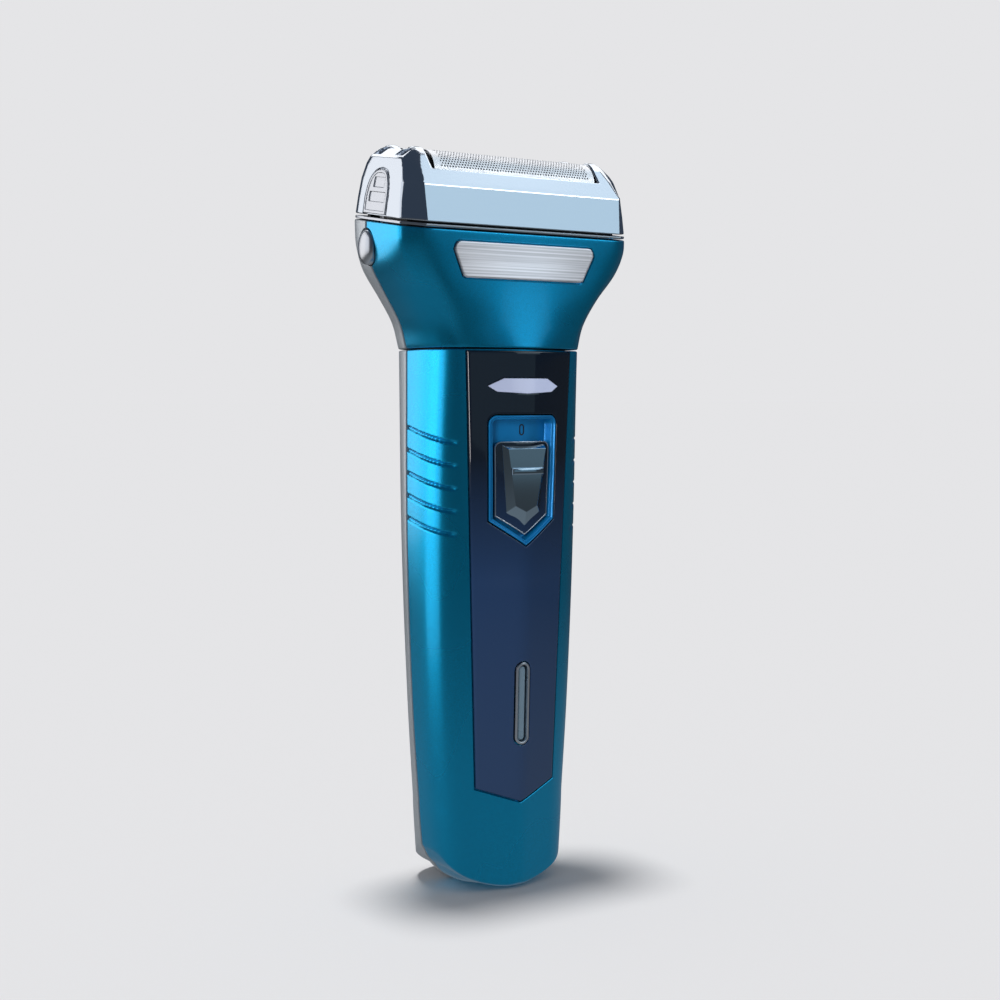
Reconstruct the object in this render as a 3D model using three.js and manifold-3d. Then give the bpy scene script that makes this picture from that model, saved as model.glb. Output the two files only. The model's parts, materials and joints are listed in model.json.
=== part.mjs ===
// Twin-foil electric shaver: a handle with motor, battery and switch, and a pull-off shaving
// attachment with a flared neck, a nodding head, two foils and two oscillating cutter blocks.
// Millimetres, +Z up, the front faces -Y, +X is the right-hand side seen from the front.
// The origin is on the flat foot under the handle.

import * as THREE from 'three';
import { mergeVertices } from 'three/addons/utils/BufferGeometryUtils.js';
import Module from 'manifold-3d';

const wasm = await Module();
wasm.setup();

// ---------------------------------------------------------------- driving dimensions
const GAP = 0.3; // clearance between fitted pieces
const PART_Y = 2.4; // plane where the front and rear shells meet
const HANDLE_TOP = 124; // joint between handle and attachment
const HANDLE_WALL = 2.4;
const NECK_WALL = 2.2;
const PANEL_PROUD = 0.2; // front panel above the shell
const PANEL_DEPTH = 1.0; // front panel below the shell surface
const MOTOR_Y = 2.2; // motor axis behind the origin
const MOTOR_R = 9.5;
const ECCENTRIC = 0.8; // offset of the drive pin from the motor axis
const HEAD_TILT = THREE.MathUtils.degToRad(9); // the head nods forward
const HEAD_ORIGIN = 153.5; // height of the head's base plane on the axis
const FOIL_HALF = 21.6; // half length of a foil
const SLOT_HALF = 22.4; // half length of the opening for the foils
const FOIL_R = 5.75; // outer radius of a foil
const FOIL_Y = 5.3; // distance of each foil's axis from the middle of the head
const FOIL_Z = 9.7; // height of the foil axes above the head's base plane
const BUTTON = { y: 2.4, z: 146.8, halfY: 3.3, halfZ: 3.9, travel: 1.5 };

// Side views and front views of the handle, as [height, value] pairs
const HANDLE = {
  halfWidth: [[0, 16.6], [12, 17.2], [42, 19.3], [80, 20.6], [124, 20.55]],
  ridge: [[0, 13.5], [20, 14.15], [42, 14.9], [80, 16.2], [124, 16.9]],
  panelX: [[0, 10.2], [24, 10.9], [124, 14.4]],
  panelY: [[0, 11.2], [24, 11.4], [124, 13.3]],
  creaseX: [[0, 12.2], [24, 12.95], [124, 16.5]],
  creaseY: [[0, 10.25], [24, 10.45], [124, 12.37]],
  rear: [[0, 12.6], [12, 12.6], [42, 12.0], [80, 12.9], [124, 14.8]],
};
const NECK = {
  halfWidth: [[124, 20.55], [130, 22.3], [136, 25.8], [142, 29.2], [147, 30.5], [151, 30.8], [158, 30.8]],
  ridge: [[124, 16.9], [130, 16.4], [136, 16.2], [142, 16.3], [147, 16.55], [151, 16.9], [158, 17.9]],
  panelX: [[124, 14.4], [130, 17.0], [136, 20.4], [142, 24.0], [147, 26.0], [151, 26.2], [158, 26.2]],
  panelY: [[124, 13.3], [130, 13.9], [136, 14.7], [142, 15.4], [147, 16.1], [151, 16.65], [158, 17.7]],
  creaseX: [[124, 16.5], [130, 19.1], [136, 23.2], [142, 28.0], [147, 30.2], [151, 30.5], [158, 30.5]],
  creaseY: [[124, 12.37], [130, 11.5], [136, 11.4], [142, 12.2], [147, 12.7], [151, 12.7], [158, 12.7]],
  rear: [[124, 14.8], [130, 14.4], [136, 13.9], [142, 13.3], [148, 12.7], [158, 12.6]],
};
// Crown of the base: how high the underside stands at each distance from the middle
const CROWN = [[0, 0], [2.5, 0], [6, 0.7], [10, 2.1], [12.8, 3.6], [15.1, 5.8], [16.6, 8.6], [18, 10.5]];

// Outline of the head in plan, at heights above its base plane
const HEAD = {
  frontX: [[0, 26.2], [8.4, 26.6], [12, 26.0], [16, 24.4]],
  frontY: [[0, 16.87], [8.4, 14.62], [11.5, 11.29], [16, 6.5]],
  cornerY: [[0, 12.6], [8, 10.7], [12, 8.8], [16, 5.0]],
  halfWidth: [[0, 30.4], [4, 30.1], [8, 29.6], [11.3, 28.8], [13.6, 28.0], [16, 27.0]],
  rear: [[0, 12.5], [8.4, 12.1], [11.5, 11.5], [13, 10.6], [16, 6.5]],
};

// ---------------------------------------------------------------- materials
function finish(color, roughness, metalness) {
  return new THREE.MeshStandardMaterial({ color, roughness, metalness });
}
const FINISH = {
  bluePaint: finish(0x0a7fa8, 0.32, 0.6),
  greyPlastic: finish(0x8f959a, 0.42, 0.3),
  glossBlack: finish(0x0b1018, 0.08, 0.1),
  deepBlue: finish(0x0a5f92, 0.4, 0.2),
  sliderGloss: finish(0x1b2a38, 0.12, 0.4),
  chrome: finish(0xd5dce2, 0.06, 1.0),
  satinSilver: finish(0xb4b9be, 0.35, 0.8),
  brushedBadge: finish(0xc4c6cc, 0.3, 0.9),
  inlay: finish(0xb9c3e4, 0.25, 0.4),
  blackPlastic: finish(0x15171a, 0.55, 0),
  rubber: finish(0x101010, 0.85, 0),
  steel: finish(0xc8ccd0, 0.25, 1.0),
  darkSteel: finish(0x8a8e92, 0.35, 1.0),
  brass: finish(0xb58d3c, 0.3, 1.0),
  board: finish(0x1d5a2e, 0.6, 0),
  lens: finish(0x6f8fa0, 0.15, 0),
  cellWrap: finish(0x2f6d3a, 0.45, 0),
  whitePlastic: finish(0xd9dad6, 0.5, 0),
};

// ---------------------------------------------------------------- number helpers
// Smooth curve through [at, value] pairs
function along(table, at) {
  const last = table.length - 1;
  if (at <= table[0][0]) return table[0][1];
  if (at >= table[last][0]) return table[last][1];
  const slope = (k) => {
    const a = table[Math.max(0, k - 1)];
    const b = table[Math.min(last, k + 1)];
    return (b[1] - a[1]) / (b[0] - a[0]);
  };
  let k = 0;
  while (table[k + 1][0] < at) k += 1;
  const [x0, y0] = table[k];
  const [x1, y1] = table[k + 1];
  const h = x1 - x0;
  const t = (at - x0) / h;
  const t2 = t * t;
  const t3 = t2 * t;
  return (2 * t3 - 3 * t2 + 1) * y0 + (t3 - 2 * t2 + t) * h * slope(k)
    + (-2 * t3 + 3 * t2) * y1 + (t3 - t2) * h * slope(k + 1);
}

function steps(from, to, count) {
  return Array.from({ length: count + 1 }, (_, i) => from + ((to - from) * i) / count);
}

// ---------------------------------------------------------------- solids
function solid(geometry) {
  const bare = geometry.clone();
  bare.deleteAttribute('normal');
  bare.deleteAttribute('uv');
  const merged = mergeVertices(bare, 1e-4);
  return new wasm.Manifold(new wasm.Mesh({
    numProp: 3,
    vertProperties: new Float32Array(merged.attributes.position.array),
    triVerts: new Uint32Array(merged.index.array),
  }));
}

const cut = (body, ...tools) => tools.reduce((left, tool) => left.subtract(tool), body);
const join = (body, ...more) => more.reduce((sum, next) => sum.add(next), body);
const common = (body, ...others) => others.reduce((kept, next) => kept.intersect(next), body);

function toGeometry(body) {
  const mesh = body.getMesh();
  const geometry = new THREE.BufferGeometry();
  const corners = new Float32Array(mesh.triVerts.length * 3);
  mesh.triVerts.forEach((v, i) => {
    for (let k = 0; k < 3; k += 1) corners[3 * i + k] = mesh.vertProperties[mesh.numProp * v + k];
  });
  geometry.setAttribute('position', new THREE.BufferAttribute(corners, 3));
  geometry.computeVertexNormals();
  return geometry;
}

function box(x0, x1, y0, y1, z0, z1) {
  const geometry = new THREE.BoxGeometry(x1 - x0, y1 - y0, z1 - z0);
  geometry.translate((x0 + x1) / 2, (y0 + y1) / 2, (z0 + z1) / 2);
  return solid(geometry);
}

// Extrudes an outline [[x, z], ...] along Y from y0 to y1
function prismY(outline, y0, y1) {
  const shape = new THREE.Shape(outline.map(([x, z]) => new THREE.Vector2(x, z)));
  const geometry = new THREE.ExtrudeGeometry(shape, { depth: y1 - y0, bevelEnabled: false });
  geometry.rotateX(Math.PI / 2);
  geometry.translate(0, y1, 0);
  return solid(geometry);
}

// Extrudes an outline [[y, z], ...] along X from x0 to x1
function prismX(outline, x0, x1) {
  const shape = new THREE.Shape(outline.map(([y, z]) => new THREE.Vector2(y, z)));
  const geometry = new THREE.ExtrudeGeometry(shape, { depth: x1 - x0, bevelEnabled: false });
  geometry.applyMatrix4(new THREE.Matrix4().makeBasis(
    new THREE.Vector3(0, 1, 0),
    new THREE.Vector3(0, 0, 1),
    new THREE.Vector3(1, 0, 0),
  ));
  geometry.translate(x0, 0, 0);
  return solid(geometry);
}

// Turns a [[radius, height], ...] profile round the vertical line at (x, y)
function turned(profile, x, y, segments = 18) {
  const points = profile.map(([r, z]) => new THREE.Vector2(r, z));
  const geometry = new THREE.LatheGeometry(points, segments);
  geometry.rotateX(Math.PI / 2);
  geometry.translate(x, y, 0);
  return solid(geometry);
}

function rod(r, x, y, z0, z1, segments = 16) {
  return turned([[0, z0], [r, z0], [r, z1], [0, z1]], x, y, segments);
}

function rodAlongY(r, x, z, y0, y1, segments = 8) {
  const geometry = new THREE.CylinderGeometry(r, r, y1 - y0, segments);
  geometry.translate(x, (y0 + y1) / 2, z);
  return solid(geometry);
}

// Closed solid through rings of [x, y, z] points that run anticlockwise seen from above
function loft(rings) {
  const n = rings[0].length;
  const positions = rings.flat(2);
  const index = [];
  for (let k = 0; k + 1 < rings.length; k += 1) {
    for (let i = 0; i < n; i += 1) {
      const a = k * n + i;
      const b = k * n + ((i + 1) % n);
      index.push(a, b, b + n, a, b + n, a + n);
    }
  }
  const cap = (ring, first, up) => {
    const flat = ring.map(([x, y]) => new THREE.Vector2(x, y));
    THREE.ShapeUtils.triangulateShape(flat, []).forEach(([a, b, c]) => {
      index.push(...(up ? [first + a, first + b, first + c] : [first + a, first + c, first + b]));
    });
  };
  cap(rings[0], 0, false);
  cap(rings[rings.length - 1], (rings.length - 1) * n, true);
  const geometry = new THREE.BufferGeometry();
  geometry.setAttribute('position', new THREE.Float32BufferAttribute(positions, 3));
  geometry.setIndex(index);
  return solid(geometry);
}

// Moves each point of a closed outline inwards by a distance
function inset(outline, distance) {
  const n = outline.length;
  return outline.map(([x, y], i) => {
    const [px, py] = outline[(i + n - 1) % n];
    const [qx, qy] = outline[(i + 1) % n];
    const a = new THREE.Vector2(x - px, y - py).normalize();
    const b = new THREE.Vector2(qx - x, qy - y).normalize();
    const normal = new THREE.Vector2(-(a.y + b.y), a.x + b.x).normalize();
    const reach = distance / Math.max(0.5, Math.sqrt((1 + a.dot(b)) / 2));
    return [x + normal.x * reach, y + normal.y * reach];
  });
}

function mirrored(half) {
  const inner = half.slice(1, -1).reverse().map(([x, y]) => [-x, y]);
  return [...half, ...inner];
}

// A coil spring along Z, with its wire as a swept polygon
function coil(radius, wire, height, turns, stepsPerTurn = 8) {
  const points = steps(0, 1, turns * stepsPerTurn).map((t) => {
    const angle = t * turns * 2 * Math.PI;
    return new THREE.Vector3(radius * Math.cos(angle), radius * Math.sin(angle), height * t);
  });
  const section = new THREE.Shape(
    steps(0, 2 * Math.PI, 5).slice(0, -1)
      .map((a) => new THREE.Vector2(wire * Math.cos(a), wire * Math.sin(a))),
  );
  return new THREE.ExtrudeGeometry(section, {
    extrudePath: new THREE.CatmullRomCurve3(points),
    steps: turns * stepsPerTurn,
    bevelEnabled: false,
  });
}

// ---------------------------------------------------------------- scene graph
const shaver = new THREE.Group();
const head = new THREE.Group();
head.position.z = HEAD_ORIGIN;
head.rotation.x = HEAD_TILT;
shaver.add(head);
head.updateMatrixWorld(true);
const HEAD_TO_BODY = head.matrix.clone().compose(
  head.position,
  new THREE.Quaternion().setFromEuler(head.rotation),
  new THREE.Vector3(1, 1, 1),
);

function piece(name, shape, material, parent = shaver) {
  const geometry = shape.isBufferGeometry ? shape : toGeometry(shape);
  const mesh = new THREE.Mesh(geometry, material);
  mesh.name = name;
  parent.add(mesh);
  return mesh;
}

// A solid that was drawn in the head's frame, as a solid in the body's frame
function fromHead(body) {
  return solid(toGeometry(body).applyMatrix4(HEAD_TO_BODY));
}

// ---------------------------------------------------------------- handle and neck sections
const SIDE_POWER = 3; // squareness of the front part of each side
const REAR_POWER = [[124, 2.6], [136, 3.0], [148, 4.8], [152, 5]]; // squareness of the rear at each height
const SECTION_Y = 0.74; // where the handle is widest

// One section: a shallow ridge in front, a narrow facet beside the panel, rounded sides and rear
function section(tables, z, offset = 0) {
  const at = (name) => along(tables[name], z);
  const rearPower = along(REAR_POWER, z);
  const width = at('halfWidth');
  const creaseX = at('creaseX');
  const creaseY = -at('creaseY');
  const cornerShare = 1 - (creaseX / width) ** SIDE_POWER;
  const sideReach = (SECTION_Y - creaseY) / cornerShare ** (1 / SIDE_POWER);
  const start = Math.asin(((SECTION_Y - creaseY) / sideReach) ** (SIDE_POWER / 2));
  const half = [
    [0, -at('ridge')],
    [at('panelX') / 2, -(at('ridge') * 0.52 + at('panelY') * 0.48)],
    [at('panelX'), -at('panelY')],
  ];
  steps(start, 0, 4).forEach((a) => {
    half.push([
      width * Math.cos(a) ** (2 / SIDE_POWER),
      SECTION_Y - sideReach * Math.max(0, Math.sin(a)) ** (2 / SIDE_POWER),
    ]);
  });
  steps(0, Math.PI / 2, 6).slice(1).forEach((a) => {
    half.push([
      width * Math.max(0, Math.cos(a)) ** (2 / rearPower),
      SECTION_Y + at('rear') * Math.sin(a) ** (2 / rearPower),
    ]);
  });
  half[half.length - 1][0] = 0;
  return inset(mirrored(half), -offset);
}

function ringAt(tables, z, offset, height = z) {
  return section(tables, z, offset).map(([x, y]) => [x, y, height]);
}

const handleLevels = [20, 40, 60, 80, 100];
const neckLevels = [124, 128, 132, 136, 140, 144, 148, 151, 158];

function handleLoft(offset, low, high) {
  const levels = [low, ...handleLevels.filter((z) => z > low + 2 && z < high - 2), high];
  return loft(levels.map((z) => ringAt(HANDLE, Math.min(z, HANDLE_TOP), offset, z)));
}

// The whole handle with its crowned base and flat foot
function handleSolid() {
  const outline = section(HANDLE, 6);
  const rimRound = 2.2;
  const baseRings = [0.3, 0.5, 0.68, 0.8, 0.9, 0.96, 1].map((share) => outline.map(([x, y]) => {
    const crowned = along(CROWN, Math.abs(x * share)) * Math.min(1, Math.max(0, (share - 0.5) / 0.3));
    const u = Math.max(0, (share - 0.8) / 0.2);
    const rounded = rimRound * (1 - Math.sqrt(1 - u * u)) * (1 - Math.min(1, Math.abs(x) / 15));
    return [x * share, y * share, crowned + rounded];
  }));
  const rim = baseRings[baseRings.length - 1];
  const wallRing = ringAt(HANDLE, 20, 0);
  const middle = rim.map(([x, y, z], i) => [
    x + (wallRing[i][0] - x) * 0.62,
    y + (wallRing[i][1] - y) * 0.62,
    z + (20 - z) * 0.5,
  ]);
  const upper = [...handleLevels.slice(1), HANDLE_TOP].map((z) => ringAt(HANDLE, z, 0));
  return loft([...baseRings, middle, wallRing, ...upper]);
}

function handleCavity() {
  const floor = section(HANDLE, 6, -HANDLE_WALL);
  const scaled = (share, z) => floor.map(([x, y]) => [x * share, y * share, z]);
  const upper = handleLevels.map((z) => ringAt(HANDLE, z, -HANDLE_WALL));
  const top = ringAt(HANDLE, HANDLE_TOP, -HANDLE_WALL, HANDLE_TOP + 1);
  return loft([scaled(0.5, 3.4), scaled(0.72, 6), scaled(0.9, 11), ...upper, top]);
}

const FAR = 60;
const inFront = (y) => box(-FAR, FAR, -FAR, y, -FAR, 4 * FAR);
const behind = (y) => box(-FAR, FAR, y, FAR, -FAR, 4 * FAR);

// ---------------------------------------------------------------- front panel and what sits in it
const PANEL = { top: 123.7, topX: 14.1, lowZ: 24.1, lowX: 10.6, tipZ: 20.3 };
const WELL = { top: 109.2, halfX: 9.1, lowZ: 85.4, tipZ: 79.7, corner: 2 };
const LIGHT = { low: 33.7, high: 52.8, halfX: 1.85 };
const INLAY = { z: 115.8, halfX: 9.4, halfZ: 1.7 };

function panelOutline(grow) {
  return [
    [0, PANEL.tipZ - 1.05 * grow],
    [PANEL.lowX + grow, PANEL.lowZ - 0.7 * grow],
    [PANEL.topX + grow, PANEL.top + grow],
    [-PANEL.topX - grow, PANEL.top + grow],
    [-PANEL.lowX - grow, PANEL.lowZ - 0.7 * grow],
  ];
}

// Shield outline with rounded upper corners and a pointed lower end
function shieldOutline(halfX, top, low, tip, corner) {
  const arc = steps(0, Math.PI / 2, 4);
  const right = arc.map((a) => [
    halfX - corner + corner * Math.cos(a),
    top - corner + corner * Math.sin(a),
  ]);
  const left = arc.map((a) => [
    -halfX + corner - corner * Math.sin(a),
    top - corner + corner * Math.cos(a),
  ]);
  return [[0, tip], [halfX * 0.96, low], ...right, ...left, [-halfX * 0.96, low]];
}

function wellOutline(grow) {
  return shieldOutline(
    WELL.halfX + grow,
    WELL.top + grow,
    WELL.lowZ - 0.6 * grow,
    WELL.tipZ - 1.15 * grow,
    WELL.corner + Math.max(-1, grow),
  );
}

function stadium(halfX, low, high) {
  const lower = steps(Math.PI, 2 * Math.PI, 6).map((a) => [halfX * Math.cos(a), low + halfX + halfX * Math.sin(a)]);
  const upper = steps(0, Math.PI, 6).map((a) => [halfX * Math.cos(a), high - halfX + halfX * Math.sin(a)]);
  return [...lower, ...upper];
}

function inlayOutline(grow) {
  const x = INLAY.halfX + grow;
  const z = INLAY.halfZ + grow;
  return [
    [-x, INLAY.z], [-x * 0.78, INLAY.z - z * 0.75], [0, INLAY.z - z], [x * 0.78, INLAY.z - z * 0.75],
    [x, INLAY.z], [x * 0.62, INLAY.z + z], [-x * 0.62, INLAY.z + z],
  ];
}

// A layer of the handle's skin between two offsets, inside an outline seen from the front
function skin(outline, outer, inner) {
  const low = Math.min(...outline.map(([, z]) => z)) - 2;
  const high = Math.max(...outline.map(([, z]) => z)) + 2;
  const layer = cut(handleLoft(outer, low, high), handleLoft(inner, low - 1, high + 1));
  return common(layer, prismY(outline, -FAR, -4));
}

function frontPanel() {
  return cut(
    skin(panelOutline(0), PANEL_PROUD, -PANEL_DEPTH),
    prismY(wellOutline(GAP), -FAR, 0),
    prismY(stadium(LIGHT.halfX + GAP, LIGHT.low - GAP, LIGHT.high + GAP), -FAR, 0),
    skin(inlayOutline(GAP), 1, -0.5),
  );
}

const WELL_FLOOR = 2.3; // depth of the well's floor below the surface
const WELL_BACK = 3.3; // depth of the back of the well
const STEM = { halfX: 2.2, low: 91, high: 97, back: 12.6 };
const SWITCH_TRAVEL = 4.2;

function switchWell() {
  const tray = skin(wellOutline(0), PANEL_PROUD, -WELL_BACK);
  const hollow = skin(wellOutline(-1), 1, -WELL_FLOOR);
  const lip = skin(wellOutline(-0.45), 1, -0.35);
  const slot = box(
    -STEM.halfX - GAP, STEM.halfX + GAP, -FAR, 0, STEM.low - GAP, STEM.high + SWITCH_TRAVEL + GAP,
  );
  return cut(tray, hollow, lip, slot);
}

function slider() {
  const plateOutline = shieldOutline(7.6, 103.3, 86.4, 82.0, 1.6);
  const plate = skin(plateOutline, -0.7, -WELL_FLOOR + 0.4);
  const wedge = skin([[0, 84.3], [4.5, 87.2], [5.8, 102.7], [-5.8, 102.7], [-4.5, 87.2]], 0.1, -1.4);
  const raised = skin([[0, 86.9], [2.9, 88.6], [5.0, 101.8], [-5.0, 101.8], [-2.9, 88.6]], 0.6, -1.4);
  const bar = skin([[-4, 95.8], [4, 95.8], [4, 97.4], [-4, 97.4]], 1.3, -1);
  const stem = cut(
    box(-STEM.halfX, STEM.halfX, -15, -STEM.back, STEM.low, STEM.high),
    box(-1.3, 1.3, -13.9, -STEM.back + 1, 92.2, 95.8),
  );
  return join(plate, wedge, raised, bar, stem);
}

function lightBezel() {
  return cut(
    skin(stadium(LIGHT.halfX, LIGHT.low, LIGHT.high), PANEL_PROUD + 0.1, -PANEL_DEPTH),
    prismY(stadium(LIGHT.halfX - 0.65, LIGHT.low + 0.65, LIGHT.high - 0.65), -FAR, 0),
  );
}

function gripGrooves() {
  const drop = THREE.MathUtils.degToRad(14);
  const cutters = [106.6, 101.4, 96.2, 91, 85.8].flatMap((z) => [-1, 1].map((side) => {
    const geometry = new THREE.BoxGeometry(12, 16, 0.8);
    geometry.translate(side * 21, -8, 0);
    geometry.rotateX(drop);
    geometry.translate(0, PART_Y, z);
    return solid(geometry);
  }));
  return cut(join(...cutters), handleLoft(-0.5, 70, HANDLE_TOP));
}

// ---------------------------------------------------------------- handle shells
const SCREWS = [[-9.2, 20], [9.2, 20], [-14.6, 85], [14.6, 85]];
const SOCKET = { y: 6.2, halfX: 5.9, halfY: 3.0, top: 13 };

function socketOutline(grow) {
  const geometry = [];
  const x = SOCKET.halfX + grow;
  const y = SOCKET.halfY + grow;
  const corner = 1.4;
  [[1, -1, -90], [1, 1, 0], [-1, 1, 90], [-1, -1, 180]].forEach(([sx, sy, from]) => {
    steps(0, 90, 3).forEach((turn) => {
      const a = THREE.MathUtils.degToRad(from + turn);
      geometry.push([sx * (x - corner) + corner * Math.cos(a), SOCKET.y + sy * (y - corner) + corner * Math.sin(a)]);
    });
  });
  return geometry;
}

function frontShell(whole, cavity) {
  const hollow = common(cut(whole, cavity), inFront(PART_Y - GAP / 2));
  const bosses = SCREWS.map(([x, z]) => common(
    rodAlongY(2.5, x, z, -14, PART_Y - GAP / 2, 12),
    handleLoft(-1, 14.5, HANDLE_TOP),
  ));
  const pocket = cut(prismY(panelOutline(GAP), -FAR, -2), handleLoft(-PANEL_DEPTH - GAP, 10, HANDLE_TOP + 2));
  return cut(
    join(hollow, ...bosses),
    pocket,
    prismY(wellOutline(GAP), -FAR, -5),
    prismY(stadium(1.5, LIGHT.low + 0.3, LIGHT.high - 0.3), -FAR, -5),
    gripGrooves(),
    ...SCREWS.map(([x, z]) => rodAlongY(1.4, x, z, -6, 4, 10)),
  );
}

function rearShell(whole, cavity) {
  const socketHole = loft([-2, SOCKET.top].map((z) => socketOutline(GAP).map(([x, y]) => [x, y, z])));
  const screwHoles = SCREWS.flatMap(([x, z]) => [
    rodAlongY(1.5, x, z, 0, 20, 8),
    rodAlongY(2.8, x, z, screwSeat(HANDLE, x, z), 22, 12),
  ]);
  return cut(common(cut(whole, cavity), behind(PART_Y + GAP / 2)), socketHole, ...screwHoles);
}

// Floor of a countersink, below the rear surface at a place seen from behind
function screwSeat(tables, x, z) {
  const power = along(REAR_POWER, z);
  const share = Math.min(1, Math.abs(x) / along(tables.halfWidth, z));
  return SECTION_Y + along(tables.rear, z) * (1 - share ** power) ** (1 / power) - 1.7;
}

function screw(tables, x, z, length) {
  const seat = screwSeat(tables, x, z) + GAP;
  const shank = rodAlongY(1.1, x, z, seat - length, seat + 0.1, 8);
  const cap = rodAlongY(2.4, x, z, seat, seat + 1, 12);
  const drive = [box(x - 1.5, x + 1.5, seat + 0.5, seat + 2, z - 0.3, z + 0.3),
    box(x - 0.3, x + 0.3, seat + 0.5, seat + 2, z - 1.5, z + 1.5)];
  return cut(join(shank, cap), ...drive);
}

// ---------------------------------------------------------------- inside the handle
function buildHandleInside() {
  const board = { front: -9.6, back: -8.4 };
  piece('circuit_board', cut(
    box(-8.4, 8.4, board.front, board.back, 27, 111),
    rodAlongY(1.2, 6, 31, -12, 0, 10),
    rodAlongY(1.2, -6, 107, -12, 0, 10),
  ), FINISH.board);
  piece('slide_switch', cut(
    box(-4.2, 4.2, -11.5, board.front - GAP, 87.5, 103.5),
    box(-1.35, 1.35, -13, -10.7, 92.2, 100.3),
  ), FINISH.steel);
  piece('charge_led', box(-1.1, 1.1, -10.9, board.front - GAP, 41, 45), FINISH.whitePlastic);
  piece('light_pipe', prismY(stadium(1.2, LIGHT.low + 0.6, LIGHT.high - 0.6), -13.3, -11.2), FINISH.lens);

  const cell = { r: 7.2, y: 1.4, low: 30.5, high: 79.5 };
  piece('battery_cell', turned([
    [0, cell.low], [cell.r - 0.6, cell.low], [cell.r, cell.low + 0.6], [cell.r, cell.high - 1],
    [cell.r - 0.6, cell.high - 0.4], [2.7, cell.high - 0.4], [2.7, cell.high + 1], [0, cell.high + 1],
  ], 0, cell.y, 22), FINISH.cellWrap);
  piece('battery_contact_low', join(
    box(-5, 5, cell.y - 4, cell.y + 4, 28.2, 28.8),
    turned([[0, 28.5], [2.6, 28.5], [1.4, 30.1], [0, 30.1]], 0, cell.y, 16),
  ), FINISH.brass);
  piece('battery_contact_high', box(-5, 5, cell.y - 4, cell.y + 4, 80.9, 81.5), FINISH.brass);
  const cradle = (r, z0, z1) => rod(r, 0, cell.y, z0, z1, 24);
  piece('battery_cradle', cut(
    common(cradle(cell.r + 1.3, 32, 78), behind(cell.y + 0.5)),
    cradle(cell.r + GAP, 31, 79),
  ), FINISH.blackPlastic);

  piece('motor', turned([
    [0, 88.6], [2.6, 88.6], [2.6, 90], [MOTOR_R - 1, 90], [MOTOR_R, 91], [MOTOR_R, 115],
    [MOTOR_R - 1, 116], [3, 116], [3, 117.8], [0, 117.8],
  ], 0, MOTOR_Y, 20), FINISH.darkSteel);
  const bracketRing = (offset, z0, z1) => loft([z0, z1].map((z) => ringAt(HANDLE, 117, offset, z)));
  piece('motor_bracket', cut(
    bracketRing(-HANDLE_WALL - GAP, 116.4, 118.2),
    rod(3 + GAP, 0, MOTOR_Y, 110, 120),
    box(-2.4, 2.4, -13, -9, 110, 120),
  ), FINISH.blackPlastic);

  const housing = loft([0.35, SOCKET.top - GAP].map((z) => socketOutline(0).map(([x, y]) => [x, y, z])));
  const recess = box(-4.4, 4.4, SOCKET.y - 2.2, SOCKET.y + 2.2, -1, 11.6);
  piece('charging_socket', cut(
    housing,
    recess,
    ...[-2.2, 2.2].map((x) => rod(1.1, x, SOCKET.y, 5, 20, 12)),
  ), FINISH.blackPlastic);
  [['left', -2.2], ['right', 2.2]].forEach(([side, x]) => {
    piece(`${side}_socket_pin`, turned([
      [0, 5.2], [0.5, 5.2], [0.8, 5.6], [0.8, 15.5], [0, 15.5],
    ], x, SOCKET.y, 12), FINISH.brass);
  });
  SCREWS.forEach(([x, z], i) => piece(`shell_screw_${i + 1}`, screw(HANDLE, x, z, 14), FINISH.steel));
}

// ---------------------------------------------------------------- coupling on top of the handle
function buildCoupling() {
  const plug = (offset, z0, z1) => loft([z0, z1].map((z) => ringAt(HANDLE, HANDLE_TOP, offset, z)));
  const low = 118.6;
  const high = 130;
  const sealLow = 125.6;
  const sealHigh = 127.2;
  const groove = cut(plug(1, sealLow - 0.2, sealHigh + 0.2), plug(-4.0, sealLow - 1, sealHigh + 1));
  piece('coupling_collar', cut(
    plug(-HANDLE_WALL - 0.8, low, high),
    plug(-5.4, low - 1, high - 1.6),
    rod(4.2, 0, MOTOR_Y, low - 1, high + 1, 20),
    groove,
  ), FINISH.blackPlastic);
  piece('collar_seal', cut(
    plug(-3.0, sealLow, sealHigh),
    plug(-3.7, sealLow - 1, sealHigh + 1),
  ), FINISH.rubber);
}

// ---------------------------------------------------------------- motor shaft and drive pin
function buildRotor() {
  piece('motor_shaft', rod(1, 0, MOTOR_Y, 118.1, 133.6, 14), FINISH.steel);
  piece('eccentric_cam', cut(
    join(
      turned([[0, 131.8], [3.2, 131.8], [3.5, 132.1], [3.5, 134.7], [3.2, 135], [0, 135]], 0, MOTOR_Y, 16),
      rod(1, ECCENTRIC, MOTOR_Y, 134.5, 141, 14),
    ),
    rod(1.3, 0, MOTOR_Y, 130, 133.9, 14),
  ), FINISH.whitePlastic);
}

// ---------------------------------------------------------------- attachment: neck
const BADGE = { low: 139.5, wide: 145.6, top: 147.4, lowX: 16.2, wideX: 18.7, topX: 17.2 };

function neckLoft(offset) {
  return loft(neckLevels.map((z) => ringAt(NECK, z, offset, z === HANDLE_TOP ? z + GAP : z)));
}

function neckCavity() {
  const levels = neckLevels.map((z) => ringAt(NECK, z, -NECK_WALL));
  levels[0] = ringAt(NECK, 124, -NECK_WALL, 123);
  levels[levels.length - 1] = ringAt(NECK, 158, -NECK_WALL, 160);
  return loft(levels);
}

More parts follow.
